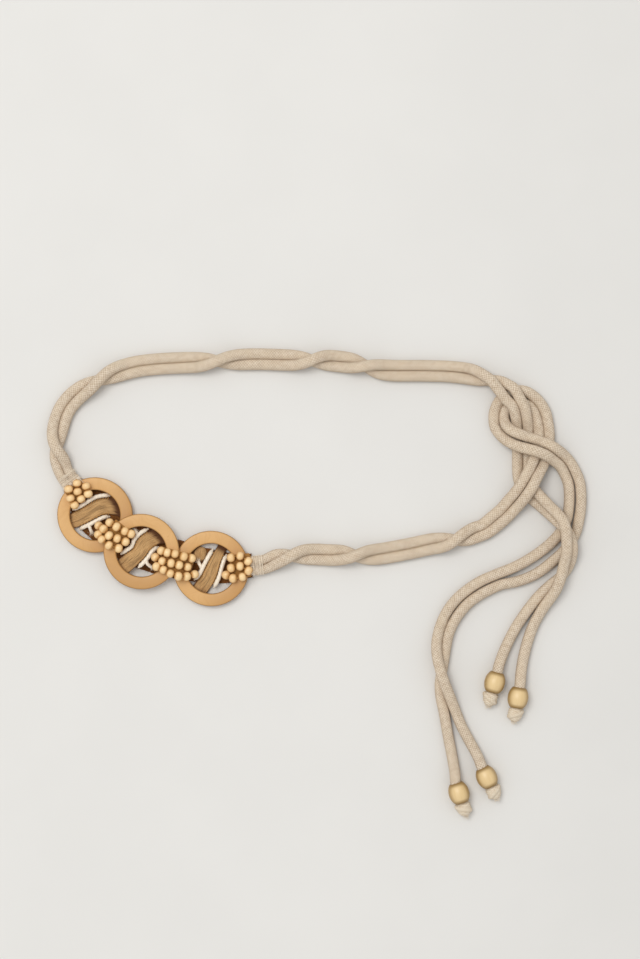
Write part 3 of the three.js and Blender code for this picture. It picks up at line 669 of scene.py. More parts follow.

# End beads. Each is a turned ball of pale wood, a little longer than round, drilled along its axis
# for the rope, with painted shade round both holes. It lies on the table near the end of its tail.
BEAD_BORE = 0.0043
# How round a bead's sides are: 0 would be a cylinder, and 1 a ball
BEAD_FLARE = 0.62
BEAD_SIDES = 64
BEAD_STEPS = 28
# The rounded lip of a bead's hole: radius, and depth below the bead's end
BEAD_LIP = [(0.0047, 0), (0.0045, 0.0002), (BEAD_BORE, 0.0009)]


def turned(profile, centre, along, sides, wobble):
    """Rings of a profile of (radius, place along the axis), turned about the axis."""
    side, above = frames_along([centre, centre + along], Vector((0.3, 0.2, 1)))[0]
    rings = []
    for radius, place in profile:
        ring = []
        for j in range(sides):
            angle = 2 * math.pi * j / sides
            reach = radius + wobble * math.sin(2 * angle + 1)
            ring.append(centre + along * place + spoke(side, above, angle) * reach)
        rings.append(ring)
    return rings


def wood(name, light, dark, soil, grain, gloss, edge, rims=None, darker_side_colour=None):
    """Sanded wood: long streaks of grain with fine pores, from its texture coordinates. Grain is how
    many streaks there are across and along. Edge is painted shade on the rounded edges: the slope
    where it starts, how much of it the walls lose, and its colour. Rims are bands of painted shade
    at both ends: how wide they are, and their colour. Darker side colour is the board's towards one
    side."""
    material, place, weave = finish(name)
    bent = weave.node(
        "VectorMath",
        {"operation": "ADD"},
        {0: weave, 1: place.cloud(45, 2).blend((0, 0, 0, 1), (0.06, 0.02, 0, 1))},
    )
    across, along = grain
    streaks = bent.stretch(across, along, 1).cloud(1, 5, 0.6)
    bands = bent.stretch(across * 0.22, along * 0.2, 1).cloud(1, 2)
    pores = bent.stretch(across * 3, along * 1.5, 1).cloud(1, 2).between(0.64, 0.72)
    mottle = place.cloud(120, 3)
    tone = streaks.between(0.3, 0.7) * 0.4 + bands.between(0.3, 0.7) * 0.35 + mottle * 0.25
    base = (pores * 0.25).blend(tone.blend(colour(*dark), colour(*light)), colour(*soil))
    if darker_side_colour:
        inner = weave.parts()[0].between(0.01, -0.024)
        base = (inner * 0.75).blend(base, colour(*darker_side_colour))
    # Rims: painted shade in bands at both ends, where the rope goes in
    if rims:
        width, brown = rims
        ends = abs(weave.parts()[1] - 0.5)
        base = ends.between(0.5 - width, 0.5).blend(base, colour(*brown))
    # Painted shade: surfaces that slope away from the light turn brown, the walls less so
    start, wall, brown = edge
    painted_edge_shade = painted_side_shade(place, 0.4, start) * (1 - painted_side_shade(place, -0.1, 0.4) * wall)
    base = (painted_edge_shade * 0.8).blend(base, colour(*brown))
    surface(
        material,
        {
            "Base Color": base,
            "Roughness": streaks * 0.12 + (gloss + pores * 0.2),
            "Coat Weight": 0.15,
            "Coat Roughness": 0.35,
        },
        streaks * 0.6 - pores * 0.5,
        depth=0.00008,
        strength=0.4,
    )
    return material


# Painted shade browns the end beads' sides and both their holes
end_bead_wood = wood(
    "end_bead_wood", (239, 211, 160), (226, 195, 141), (182, 148, 95), grain=(14, 1.4),
    gloss=0.34, edge=(0.97, 0.3, (152, 118, 60)), rims=(0.22, (140, 108, 56)),
)
end_bead_profile = []
for i in range(BEAD_STEPS + 1):
    place = -math.cos(math.pi * i / BEAD_STEPS)
    end_bead_profile.append((BEAD_RADIUS * math.sqrt(1 - BEAD_FLARE * place**2), BEAD_HALF * place))
end_bead_profile += [(radius, BEAD_HALF - deep) for radius, deep in BEAD_LIP]
end_bead_profile += [(radius, deep - BEAD_HALF) for radius, deep in BEAD_LIP[::-1]]


def along_bead(number):
    """Texture coordinates of an end bead: round it, and from one end of it to the other."""
    def mark(i, j):
        place = end_bead_profile[i % len(end_bead_profile)][1]
        return j / BEAD_SIDES * 2 + number, place / (2 * BEAD_HALF) + 0.5
    return mark


for number, x, y, way in TAILS.values():
    middle = Vector((x, y, BEAD_RADIUS))
    rings = turned(end_bead_profile, middle, heading(way), BEAD_SIDES, 0.0001)
    skins = [(rings, True, along_bead(number))]
    piece(f"end_bead_{number}_wood", skins, end_bead_wood, f"end_bead_{number}")

# End knots. Behind its bead each rope is thinned and tied in a small tight knot, so that the bead
# can't slip off: a soft lump with one strand drawn over it, and a cut end that frays.
KNOT_START = 0.0084
KNOT_LENGTH = 0.0104
KNOT_REST = 0.0054
KNOT_YARNS = 6
KNOT_STEP = 0.00055
KNOT_RELIEF = 0.0004
KNOT_FIBRES = 90
KNOT_FRAYS = 110
# Radius of the lump along it
KNOT_SHAPE = [
    (0, 0.0044), (0.15, 0.0053), (0.45, 0.0054), (0.7, 0.0047), (0.9, 0.0034), (1, 0.0018),
]
# The strand over it: along the lump from its start, left, up
KNOT_STRAND = [
    (0.0022, -0.0046, -0.0026), (0.0024, -0.0044, 0.001), (0.0036, -0.0028, 0.0036),
    (0.005, 0, 0.0044), (0.0062, 0.0026, 0.0032), (0.0068, 0.004, 0.0006),
    (0.0068, 0.0038, -0.003),
]
STRAND_RADIUS = 0.0019
STRAND_YARNS = 5
knot_cotton = cotton("knot_cotton", (250, 239, 220), (200, 176, 142), (236, 222, 200))
for rope_name, (number, x, y, way) in TAILS.items():
    along = heading(way)
    left = left_of(along) * (1 if number % 2 else -1)
    start = Vector((x, y, KNOT_REST)) + along * KNOT_START
    places, _ = even_steps([start, start + along * KNOT_LENGTH], KNOT_STEP)
    radii = []
    for i, place in enumerate(places):
        part = i / (len(places) - 1)
        row = max(k for k, (at, _) in enumerate(KNOT_SHAPE[:-1]) if at <= part)
        (a, low), (b, high) = KNOT_SHAPE[row], KNOT_SHAPE[row + 1]
        lump = noise.noise(place * 260 + Vector((number, 0, 0))) * 0.0003
        radii.append(low + (high - low) * smoothstep(part, a, b) + lump)
    skins = [braid(places, radii, KNOT_YARNS, KNOT_RELIEF)]
    line = [start + along * on + left * aside + UP * up for on, aside, up in KNOT_STRAND]
    strand, _ = even_steps(line, 0.00045)
    skins.append(braid(strand, [STRAND_RADIUS] * len(strand), STRAND_YARNS, BRAID_RELIEF))
    skins += fuzz(places, radii, KNOT_FIBRES, FIBRE_LENGTH)
    frays = []
    for _ in range(KNOT_FRAYS):
        spread = stray(0.7)
        root = places[-2] + spread * 0.0024
        frays.append(hair(root, (along + spread * 0.9).normalized(), random.uniform(0.001, 0.0028)))
    skins += above_table(frays)
    knot = f"end_knot_{number}_cotton"
    piece(knot, skins, knot_cotton, f"end_knot_{number}")
    # The rope is whole in the photograph, so its length is the one measured there. Nothing uses it.
    rope, rope_places = rope_lines[rope_name]
    pair, _, _, length = ROPES[rope_name]
    rope_places[::4] + [rope_places[-1]]

# Rings. Three flat rings sawn from a pale hardwood board, with rounded and sanded edges. The middle
# one lies on its neighbours.
RING_OUTER = 0.0294
RING_INNER = 0.0195
RING_THICK = 0.0045
RING_ROUND = 0.0014
RING_SIDES = 160
ROUND_STEPS = 6
LEATHER = 0.0012
GAP = 0.0003
LAYER = LEATHER + GAP
RING_LOW = 2 * LAYER
RING_HIGH = RING_LOW + RING_THICK + GAP
# Middle of each ring, height of its underside, and the way its grain runs in degrees
RINGS = [
    (-0.04695, 0.02115, RING_LOW, 62),
    (-0.0106, -0.0072, RING_HIGH, -20),
    (0.0434, -0.0205, RING_LOW, 68),
]

# Painted shade browns the rings' rounded edges. Each ring is darker towards one side of its board.
ring_wood = wood(
    "ring_wood", (225, 178, 114), (209, 159, 94), (176, 126, 70), grain=(520, 60), gloss=0.42,
    edge=(0.99, 0.75, (128, 86, 44)), darker_side_colour=(190, 140, 78),
)


def ring_corner(radius, height, start):
    """A rounded edge of a ring, a quarter turn from a start in degrees."""
    corner = []
    for i in range(ROUND_STEPS + 1):
        angle = math.radians(start + 90 / ROUND_STEPS * i)
        out, up = RING_ROUND * math.cos(angle), RING_ROUND * math.sin(angle)
        corner.append((radius + out, height + up))
    return corner


# Section of a ring, with both faces between the rounded edges, the upper one slightly crowned
outer, inner = RING_OUTER - RING_ROUND, RING_INNER + RING_ROUND
middle, top = (RING_OUTER + RING_INNER) / 2, RING_THICK - RING_ROUND
ring_profile = ring_corner(outer, RING_ROUND, -90) + ring_corner(outer, top, 0)
ring_profile += [(middle + reach, RING_THICK + 0.0001) for reach in (0.0015, 0, -0.0015)]
ring_profile += ring_corner(inner, top, 90) + ring_corner(inner, RING_ROUND, 180)
ring_profile += [(middle + reach, 0) for reach in (-0.0015, 0, 0.0015)]


def along_board(rings, centre, way):
    """Texture coordinates of a ring: its place in the board that it was sawn from."""
    cos, sin = math.cos(math.radians(way)), math.sin(math.radians(way))

    def mark(i, j):
        at = rings[i % len(rings)][j % RING_SIDES] - centre
        return at.y * cos - at.x * sin + at.z * 0.3, at.x * cos + at.y * sin + at.z * 0.2
    return mark


for number, (x, y, bottom, way) in enumerate(RINGS, 1):
    centre = Vector((x, y, bottom))
    rings = turned(ring_profile, centre, UP, RING_SIDES, 0.00012)
    skins = [(rings, True, along_board(rings, centre, way))]
    piece(f"ring_{number}_wood", skins, ring_wood, f"ring_{number}")

# Backing. A strip of dark brown suede lies under all three rings, cut by hand, with a napped face
# and rough edges. It closes the notches between the rings and ends under both whippings.

# Rows of the strip's middle line, and how far it reaches to the left and to the right of each
BACKING_LINE = [
    (-0.065, 0.0457), (-0.04625, 0.02075), (-0.01075, -0.00735), (0.04345, -0.02075),
    (0.0753, -0.0183),
]
BACKING_LEFT = [0.0075, 0.0192, 0.0192, 0.0148, 0.009]
BACKING_RIGHT = [0.0085, 0.0158, 0.0134, 0.0115, 0.009]
BACKING_STEPS = 150
BACKING_ACROSS = 16
BACKING_FIBRES = 500
# Share of the thickness that the worn edges have lost, above and below
EDGE_WEAR = 0.35


def backing_edge(reaches, sign, span):
    """A place on one edge of the backing, a whole span being a row of its line."""
    edge = []
    for i, (x, y) in enumerate(BACKING_LINE):
        before, after = BACKING_LINE[max(i - 1, 0)], BACKING_LINE[min(i + 1, len(BACKING_LINE) - 1)]
        along = Vector((after[0] - before[0], after[1] - before[1], 0)).normalized()
        edge.append(Vector((x, y, 0)) + left_of(along) * sign * reaches[i])
    i = min(int(span), len(edge) - 2)
    start, end = edge[i], edge[i + 1]
    leave = (end - edge[max(i - 1, 0)]) / 2
    arrive = (edge[min(i + 2, len(edge) - 1)] - start) / 2
    return curve(start, end, leave, arrive, span - i)


# Its face is a short pile of dark and light tufts, brushed one way and paler where it is rubbed
backing_suede, place, _ = finish("backing_suede")
pile = place.cloud(900, 5, 0.75)
strokes = place.stretch(1, 0.35, 1).cloud(315, 3)
rubbed = place.cloud(70, 3)
tone = pile.between(0.3, 0.72) * 0.45 + strokes.between(0.35, 0.7) * 0.3
tone = tone + rubbed.between(0.4, 0.7) * 0.25
surface(
    backing_suede,
    {
        "Base Color": tone.blend(colour(78, 44, 14), colour(150, 98, 50)),
        "Roughness": 0.95,
        "Specular IOR Level": 0.15,
        "Sheen Weight": 0.2,
        "Sheen Roughness": 0.5,
    },
    pile * 0.6 + strokes * 0.4,
    depth=0.0002,
)
rings, edges = [], []
for i in range(BACKING_STEPS + 1):
    span = (len(BACKING_LINE) - 1) * i / BACKING_STEPS
    left = backing_edge(BACKING_LEFT, 1, span)
    right = backing_edge(BACKING_RIGHT, -1, span)
    across = (right - left).normalized()
    left -= across * noise.noise(left * 260) * 0.0006
    right += across * noise.noise(right * 260) * 0.0006
    edges += [(left, -across), (right, across)]
    ring = []
    for j in range(BACKING_ACROSS + 1):
        at = left.lerp(right, j / BACKING_ACROSS)
        wear = EDGE_WEAR if j in (0, BACKING_ACROSS) else 0
        lump = noise.noise(at * 190) * 0.00018
        ring.append(Vector((at.x, at.y, LEATHER * (1 - wear) + lump)))
    for j in range(BACKING_ACROSS, -1, -4):
        at = left.lerp(right, j / BACKING_ACROSS)
        ring.append(Vector((at.x, at.y, EDGE_WEAR * LEATHER if j in (0, BACKING_ACROSS) else 0)))
    rings.append(ring)


def along_backing(i, j):
    return j / len(rings[0]), i / len(rings)


skins = [(rings, False, along_backing)]
fibres = []
for _ in range(BACKING_FIBRES):
    root, out = random.choice(edges)
    slant = Vector([random.uniform(-0.5, 0.5) for _ in range(2)] + [random.uniform(0, 0.3)])
    root = root + UP * random.uniform(0.0003, 0.001)
    fibres.append(hair(root, (out + slant).normalized(), random.uniform(0.0004, 0.0014)))
piece("backing_suede", skins + above_table(fibres), backing_suede, "backing")

# Bindings. Brown waxed thread is wound side by side round the bands of two rings where they meet,
# and round the last band and the backing at each end. The strings of beads lie on these windings.
LOW_TOP = RING_LOW + RING_THICK + LAYER
HIGH_TOP = RING_HIGH + RING_THICK + LAYER
INNER_END = 0.0144


def end_outline(end):
    """Outline round one band and the backing: distance from the ring's centre, and height."""
    return [
        (INNER_END, LAYER), (end, LAYER), (end, LOW_TOP - 0.001), (end - 0.001, LOW_TOP),
        (INNER_END + 0.001, LOW_TOP), (INNER_END, LOW_TOP - 0.001),
    ]


# Ring, heading from its centre, middle and width across, and the outline round the bands as rows
# of distance from the ring's centre and height
BINDINGS = [
    (0, 126.9, 0.0004, 0.0155, end_outline(0.0308)),
    (0, -38.4, -0.0017, 0.019, [
        (0.0137, LAYER), (0.0326, LAYER), (0.0326, HIGH_TOP - 0.0015), (0.0313, HIGH_TOP),
        (0.0147, HIGH_TOP), (0.0137, HIGH_TOP - 0.001)]),
    (1, -13.9, -0.0014, 0.018, [
        (0.0143, LAYER), (0.0416, LAYER), (0.0416, LOW_TOP - 0.001), (0.0406, LOW_TOP),
        (0.037, LOW_TOP), (0.0314, HIGH_TOP), (0.0153, HIGH_TOP), (0.0143, HIGH_TOP - 0.001)]),
    (2, 4.3, 0.0006, 0.018, end_outline(0.0322)),
]
BAND_STEP = 0.0009
THREAD_PITCH = 0.00085
THREAD_STEPS = 5
THREAD_RELIEF = 0.0004
# The winding's thickness, and how much its outer turns draw in, over a number of them
BAND_DEPTH = 0.0008
BAND_DRAW = 0.0016
DRAWN_TURNS = 4


def over_ring(ring, height=0):
    """A place over the middle of a ring."""
    return Vector((RINGS[ring][0], RINGS[ring][1], height))


def band_line(outline):
    """The outline as evenly spaced places with rounded corners, and the outward way at each."""
    corners = outline
    for _ in range(2):
        cut = []
        for (ax, ay), (bx, by) in zip(corners, corners[1:] + corners[:1]):
            cut.append((0.8 * ax + 0.2 * bx, 0.8 * ay + 0.2 * by))
            cut.append((0.2 * ax + 0.8 * bx, 0.2 * ay + 0.8 * by))
        corners = cut
    places = []
    for (ax, ay), (bx, by) in zip(corners, corners[1:] + corners[:1]):
        count = max(round(math.hypot(bx - ax, by - ay) / BAND_STEP), 1)
        places += [(ax + (bx - ax) * i / count, ay + (by - ay) * i / count) for i in range(count)]
    result = []
    for i, (x, y) in enumerate(places):
        (ax, ay), (bx, by) = places[i - 1], places[(i + 1) % len(places)]
        length = math.hypot(bx - ax, by - ay)
        result.append((x, y, (by - ay) / length, (ax - bx) / length))
    return result


# Its turns show as ridges with painted light and shade, and the thread's own twist across them
binding_thread, place, weave = finish("binding_thread")
u, v, _ = weave.parts()
wound_turns = (v * (2 * math.pi)).maths("SINE") * 0.5 + 0.5
plied = ((u * 160 + v * 0.5) * (2 * math.pi)).maths("SINE") * 0.5 + 0.5
dirt = place.cloud(500, 4)
tone = wound_turns * 0.45 + plied * 0.2 + dirt * 0.35
surface(
    binding_thread,
    {
        "Base Color": tone.blend(colour(146, 95, 28), colour(224, 170, 94)),
        "Roughness": 0.7,
        "Sheen Weight": 0.1,
    },
    wound_turns * 0.3 + plied * 0.4 + dirt * 0.3,
    depth=0.0002,
)
for number, (ring, way, middle, width, outline) in enumerate(BINDINGS, 1):
    along = heading(way)
    left = left_of(along)
    line = band_line(outline)
    centre = over_ring(ring)
    turns = round(width / THREAD_PITCH)
    rings = []
    for i in range(THREAD_STEPS * turns + 1):
        wind = i / THREAD_STEPS
        aside = middle + width * (i / (THREAD_STEPS * turns) - 0.5)
        shy = BAND_DRAW * (1 - smoothstep(min(wind, turns - wind), 0, DRAWN_TURNS)) + 0.0004
        ring_points = []
        for s, z, out_s, out_z in line:
            lean = noise.noise(Vector((s * 90, wind * 0.9, number))) * 0.0002
            lift = THREAD_RELIEF * (abs(math.sin(math.pi * wind)) - 0.6)
            at = centre + along * (s + out_s * (lift - shy)) + left * (aside + lean)
            ring_points.append(at + UP * (z + out_z * lift))
        rings.append(ring_points)
    # The inner face of the winding, back from its last turn to its first
    for end in (0.49, 0.098, -0.098, -0.49):
        rings.append([
            centre + along * (s - out_s * 2.6 * BAND_DEPTH) + left * (middle + width * end)
            + UP * (z - out_z * BAND_DEPTH)
            for s, z, out_s, out_z in line
        ])

    def along_winding(i, j):
        return j / len(line), i / THREAD_STEPS

    skins = [(rings, True, along_winding)]
    piece(f"binding_{number}_thread", skins, binding_thread, f"binding_{number}")

# Strings of beads. Small pale wooden beads, wider than they are long, are strung on brown thread
# and sewn down across each binding, three strings side by side. Their end beads hang beyond it.
SMALL_BEAD = 0.0032
BEAD_ACROSS = 0.0035
BEAD_ALONG = 0.0031
BEAD_HOLE = 0.0006
SMALL_BEAD_SIDES = 24
SMALL_BEAD_STEPS = 16
STRING_RADIUS = 0.00045
STRING_STEP = 0.0006
BAND_POINTS = 150
# Each string's binding, and the place of each of its beads
STRANDS = {
    "strand_1_a": (0, [(-0.0534, 0.0436), (-0.0518, 0.0376)]),
    "strand_1_b": (0, [(-0.0605, 0.0459), (-0.06, 0.0394), (-0.0573, 0.0337)]),
    "strand_1_c": (0, [(-0.0669, 0.0413), (-0.0655, 0.0342), (-0.0623, 0.0289)]),
    "strand_2_a": (1, [(-0.0349, 0.0154), (-0.0295, 0.0121), (-0.023, 0.0087), (-0.0181, 0.0066)]),
    "strand_2_b": (1, [(-0.0437, 0.0129), (-0.0395, 0.0104), (-0.0353, 0.0054), (-0.0289, 0.0031),
        (-0.0225, 0.0006)]),
    "strand_2_c": (1, [(-0.0438, 0.0062), (-0.0409, 0.0024), (-0.0353, -0.0021),
        (-0.0278, -0.0045)]),
    "strand_3_a": (2, [(0.005, -0.0064), (0.0098, -0.0079), (0.0158, -0.0088), (0.0226, -0.0109),
        (0.0286, -0.0124)]),
    "strand_3_b": (2, [(0.0005, -0.0115), (0.0059, -0.0145), (0.0128, -0.016), (0.019, -0.0175),
        (0.0253, -0.019)]),
    "strand_3_c": (2, [(0.0014, -0.0186), (0.0068, -0.0211), (0.0122, -0.024), (0.0184, -0.0261),
        (0.0247, -0.0264), (0.0307, -0.0248)]),
    "strand_4_a": (3, [(0.059, -0.0119), (0.066, -0.0105), (0.0723, -0.0147)]),
    "strand_4_b": (3, [(0.059, -0.0199), (0.066, -0.0185), (0.0726, -0.022)]),
    "strand_4_c": (3, [(0.0552, -0.0254), (0.0605, -0.0279), (0.0678, -0.0268)]),
}


def bead_height(binding, at):
    """Height of a bead's middle where it rests on the binding, or hangs past its end."""
    ring, way, _, _, outline = BINDINGS[binding]
    along = (at - over_ring(ring)).dot(heading(way))
    reach = SMALL_BEAD + GAP
    inner, outer = outline[0][0], outline[1][0]
    if along < inner:
        height = outline[-2][1] - (inner - along) + reach
    else:
        height = outline[3][1] - max(along - outer, 0) + reach
    spans = list(zip(outline, outline[1:]))
    steps = [math.dist(a, b) for a, b in spans]
    for (a, b), length in zip(spans, steps):
        count = max(round(BAND_POINTS * length / sum(steps)), 1)
        for k in range(count + 1):
            s, z = (a[n] + (b[n] - a[n]) * k / count for n in (0, 1))
            if abs(along - s) < reach:
                height = max(height, z + math.sqrt(reach**2 - (along - s) ** 2))
    return height


bead_wood, place, weave = finish("bead_wood")
u, v, _ = weave.parts()
grain = weave.stretch(16, 2.5, 1).cloud(1, 4, 0.6)
tint = u.node("TexWhiteNoise", {"noise_dimensions": "1D"}, {"W": u.maths("FLOOR")})
# Painted shade: each bead is darker towards both holes, where it meets its neighbours, and on its
# sides
holes = (v.between(0.2, 0.05) + v.between(0.75, 0.95)).maths("MINIMUM", 1)
tone = grain.between(0.3, 0.7) * 0.5 + tint * 0.5
warm = tone.blend(colour(240, 197, 138), colour(255, 226, 174))
brown = (holes * 0.6 + painted_side_shade(place, 0.1, 0.97) * 0.6).maths("MINIMUM", 0.8)
surface(
    bead_wood,
    {
        "Base Color": brown.blend(warm, colour(202, 148, 78)),
        "Roughness": grain * 0.15 + 0.3,
        "Coat Weight": 0.2,
        "Coat Roughness": 0.3,
    },
    grain,
    depth=0.00005,
    strength=0.5,
)
bead_profile = []
for i in range(SMALL_BEAD_STEPS + 1):
    angle = math.pi * i / SMALL_BEAD_STEPS
    radius = BEAD_HOLE + (BEAD_ACROSS - BEAD_HOLE) * math.sin(angle) ** 0.95
    bead_profile.append((radius, -BEAD_ALONG * math.cos(angle)))
bead_profile += [(BEAD_HOLE, 0.0015), (BEAD_HOLE, -0.0015)]


def along_small_bead(tag):
    """Texture coordinates of a small bead: its own number and round it, and from end to end."""
    def mark(i, j):
        along = bead_profile[i % len(bead_profile)][1] / (2 * BEAD_ALONG) + 0.5
        return tag + 0.02 + 0.96 * j / SMALL_BEAD_SIDES, along
    return mark


string_skins = []
for number, (name, (binding, beads)) in enumerate(STRANDS.items()):
    middles = [Vector((x, y, 0)) for x, y in beads]
    ends = [
        middles[0] + (middles[0] - middles[1]).normalized() * SMALL_BEAD,
        middles[-1] + (middles[-1] - middles[-2]).normalized() * SMALL_BEAD,
    ]
    line = [ends[0], *middles, ends[1]]
    line = [at + UP * bead_height(binding, at) for at in line]
    skins = []
    for i in range(1, len(line) - 1):
        way = (line[i + 1] - line[i - 1]).normalized()
        way = (way + stray(0.09)).normalized()
        size = random.uniform(0.96, 1.03)
        shape = [(radius * size, along * size) for radius, along in bead_profile]
        wobble = random.uniform(-0.0001, 0.0001)
        rings = turned(shape, line[i], way, SMALL_BEAD_SIDES, wobble)
        skins.append((rings, True, along_small_bead(10 * number + i)))
    piece(f"{name}_beads", skins, bead_wood, name)
    places, _ = even_steps(line, STRING_STEP)
    string_skins.append(twisted(places, STRING_RADIUS, 3, 0.002, sides=8))
piece("bead_strings", string_skins, binding_thread)

# Straps. One turn of taupe suede strap crosses each ring's hole, with its ends tucked under the
# ring. It is pulled tight, so that its face is crowned and creased lengthwise. The cut end of the
# third strap is turned back over the backing and shows beside the strap.

# For each ring, rows of the strap's middle from the ring's centre, with its width there
STRAPS = [
    [(-0.0253, -0.0052, 0.012), (-0.0175, -0.0044, 0.012), (-0.0068, 0.0004, 0.0122),
     (0.0051, 0.0065, 0.0132), (0.0139, 0.0065, 0.0124), (0.0229, 0.0038, 0.012)],
    [(-0.0171, -0.0138, 0.0134), (-0.0091, -0.0072, 0.013), (-0.0018, -0.0009, 0.0116),
     (0.0028, 0.0065, 0.013), (0.0101, 0.011, 0.0122), (0.0179, 0.0125, 0.012)],
    [(-0.0106, -0.0192, 0.0124), (-0.0073, -0.0142, 0.0122), (-0.0033, -0.0091, 0.0112),
     (-0.0004, -0.0032, 0.0109), (0.0024, 0.0041, 0.0094), (0.0062, 0.0121, 0.0077),
     (0.0105, 0.02, 0.0077)],
]
HOLE_EDGE = 0.0188
STRAP_RISE = 0.0085
STRAP_TOP = 0.0036
STRAP_CROWN = 0.0011
STRAP_STEPS = 64
STRAP_ACROSS = 32
# A strap's texture runs from its number times this, so that each has its own creases
STRAP_TAG = 9


def strap_height(ring, distance):
    """Height of a strap's middle at a distance from the ring's centre, and how far it has risen."""
    rise = smoothstep(HOLE_EDGE - distance, 0, STRAP_RISE)
    return RINGS[ring][2] - GAP - LEATHER / 2 + STRAP_TOP * rise, rise


def strap_place(ring, t, fraction, beyond=0.0):
    """A place on a strap: t along it from 0 to 1, and a fraction of its half width to the left."""
    line = [Vector(row) for row in STRAPS[ring]]
    span = t * (len(line) - 1)
    at = on_path(line, span)
    left = left_of(path_way(line, span))
    half = at.z / 2
    at = Vector((at.x, at.y, 0))
    far = max((at + left * half).length, (at - left * half).length)
    height, rise = strap_height(ring, far)
    aside = fraction * half + math.copysign(beyond, fraction)
    return over_ring(ring, height) + at + left * aside, rise


def strap_face(ring, t, fraction):
    """A place on the strap's upper face, with its crown and its lengthwise creases."""
    at, rise = strap_place(ring, t, fraction)
    crown = STRAP_CROWN * (0.35 - fraction**2)
    crease = noise.noise(Vector((fraction * 3.2, t * 1.6, ring * 7))) * 0.0004
    fine = abs(noise.noise(Vector((fraction * 9, t * 2.5, ring * 11)))) * 0.00028
    return at + UP * (LEATHER / 2 + (crown + crease - fine) * rise), crown * rise


# Outline of the turned-back end from the ring's centre, and its section: share of the outline's
# reach, and height
STRAP_END = [
    (-0.0137, 0.0132), (-0.0092, 0.0168), (-0.0048, 0.0156), (-0.0038, 0.0112), (-0.0058, 0.0068),
    (-0.011, 0.0057), (-0.0142, 0.009), (-0.0137, 0.0132),
]
END_SECTION = [
    (0.9, 0.0015), (1, 0.0018), (1, 0.0022), (0.93, 0.0026), (0.7, 0.0027), (0.35, 0.0027),
]


def strap_end(centre):
    """The strap's end as a flat skin of rings, which shrink towards its middle."""
    edge, _ = even_steps([Vector((x, y, 0)) for x, y in STRAP_END], 0.0008)
    edge = edge[:-1]
    middle = sum(edge, Vector()) / len(edge)
    rings = []
    for shrink, height in END_SECTION:
        ring = []
        for at in edge:
            lump = noise.noise(at * 300 + UP * shrink) * 0.00015
            ring.append(centre + middle + (at - middle) * shrink + UP * (height + lump))
        rings.append(ring)

    def mark(i, j):
        at = rings[i][j % len(edge)] - centre
        return 0.5 + at.x / 0.03, at.y / 0.012
    return rings, False, mark


# Its face has long streaks and creases, with painted shade in the creases, at its edges and under
# the ring
strap_suede, place, weave = finish("strap_suede")
u, v, _ = weave.parts()
streaks = weave.stretch(22, 1.4, 1).cloud(1, 4, 0.65)
creases = weave.stretch(9, 0.5, 1).cloud(1, 2).between(0.54, 0.66)
nap = place.cloud(1500, 4, 0.7)
tone = streaks.between(0.32, 0.66) * 0.65 + nap.between(0.3, 0.7) * 0.35
reaches = []
for x, y, bottom, _ in RINGS:
    centre = {0: place, 1: (x - 0.0016, y - 0.0014, bottom + 0.002)}
    reaches.append(place.node("VectorMath", {"operation": "DISTANCE"}, centre, output=1))
nearest = reaches[0].maths("MINIMUM", reaches[1]).maths("MINIMUM", reaches[2])
# Painted shade where the strap goes under a ring, more on the side away from the light
tucked = nearest.between(0.0152, 0.02)
# The turned-back end lies in the open, so it is shaded less than the straps
on_strap = v.between(4, 8) * 0.9 + 0.1
edges_dark = u.between(0.1, 0.0) + u.between(0.9, 1.0)
shade = (creases * 0.4 + edges_dark * 0.8 + tucked * on_strap).maths("MINIMUM", 1)
base = tone.blend(colour(160, 119, 72), colour(219, 178, 122))
surface(
    strap_suede,
    {
        "Base Color": shade.blend(base, colour(88, 50, 16)),
        "Roughness": 0.85,
        "Sheen Weight": 0.15,
        "Sheen Roughness": 0.5,
    },
    streaks * 0.6 + nap * 0.3 - creases * 0.6,
    depth=0.0005,
    strength=0.9,
)
for number in (1, 2, 3):
    rings = []
    for i in range(STRAP_STEPS + 1):
        top, bottom = [], []
        for k in range(STRAP_ACROSS + 1):
            fraction = 1 - 2 * k / STRAP_ACROSS
            face, crown = strap_face(number - 1, i / STRAP_STEPS, fraction)
            under, _ = strap_place(number - 1, i / STRAP_STEPS, fraction)
            edge = 0.0003 if abs(fraction) > 0.97 else 0
            top.append(face - UP * edge)
            bottom.append(under + UP * (edge + crown - LEATHER / 2))
        rings.append(top + bottom[::-2])

    def across_strap(i, j):
        """Texture coordinates of a strap: across it, above and below, and along it."""
        along = i / STRAP_STEPS * 4 + number * STRAP_TAG
        if j <= STRAP_ACROSS:
            return j / STRAP_ACROSS, along
        sides = len(rings[0])
        return (sides - j) / (sides - STRAP_ACROSS), along

    skins = [(rings, False, across_strap)]
    if number == 3:
        skins.append(strap_end(over_ring(number - 1)))
    piece(f"strap_turn_{number}_suede", skins, strap_suede, f"strap_turn_{number}")

# Edge cords. Cream satin lacing cord runs along both edges of each strap and dives under the ring
# or the beads. Some have a second strand that branches off and ends in loose floss.
CORD_RADIUS = 0.0017
SPUR_RADIUS = 0.0014
CORD_LIFT = 0.0009
CORD_ASIDE = 0.0019
CORD_DIVE = 0.001
CORD_LAY = 0.0032
CORD_STEP = 0.0003
CORD_SIDES = 18
CORD_SPANS = 6
FLOSS = 70
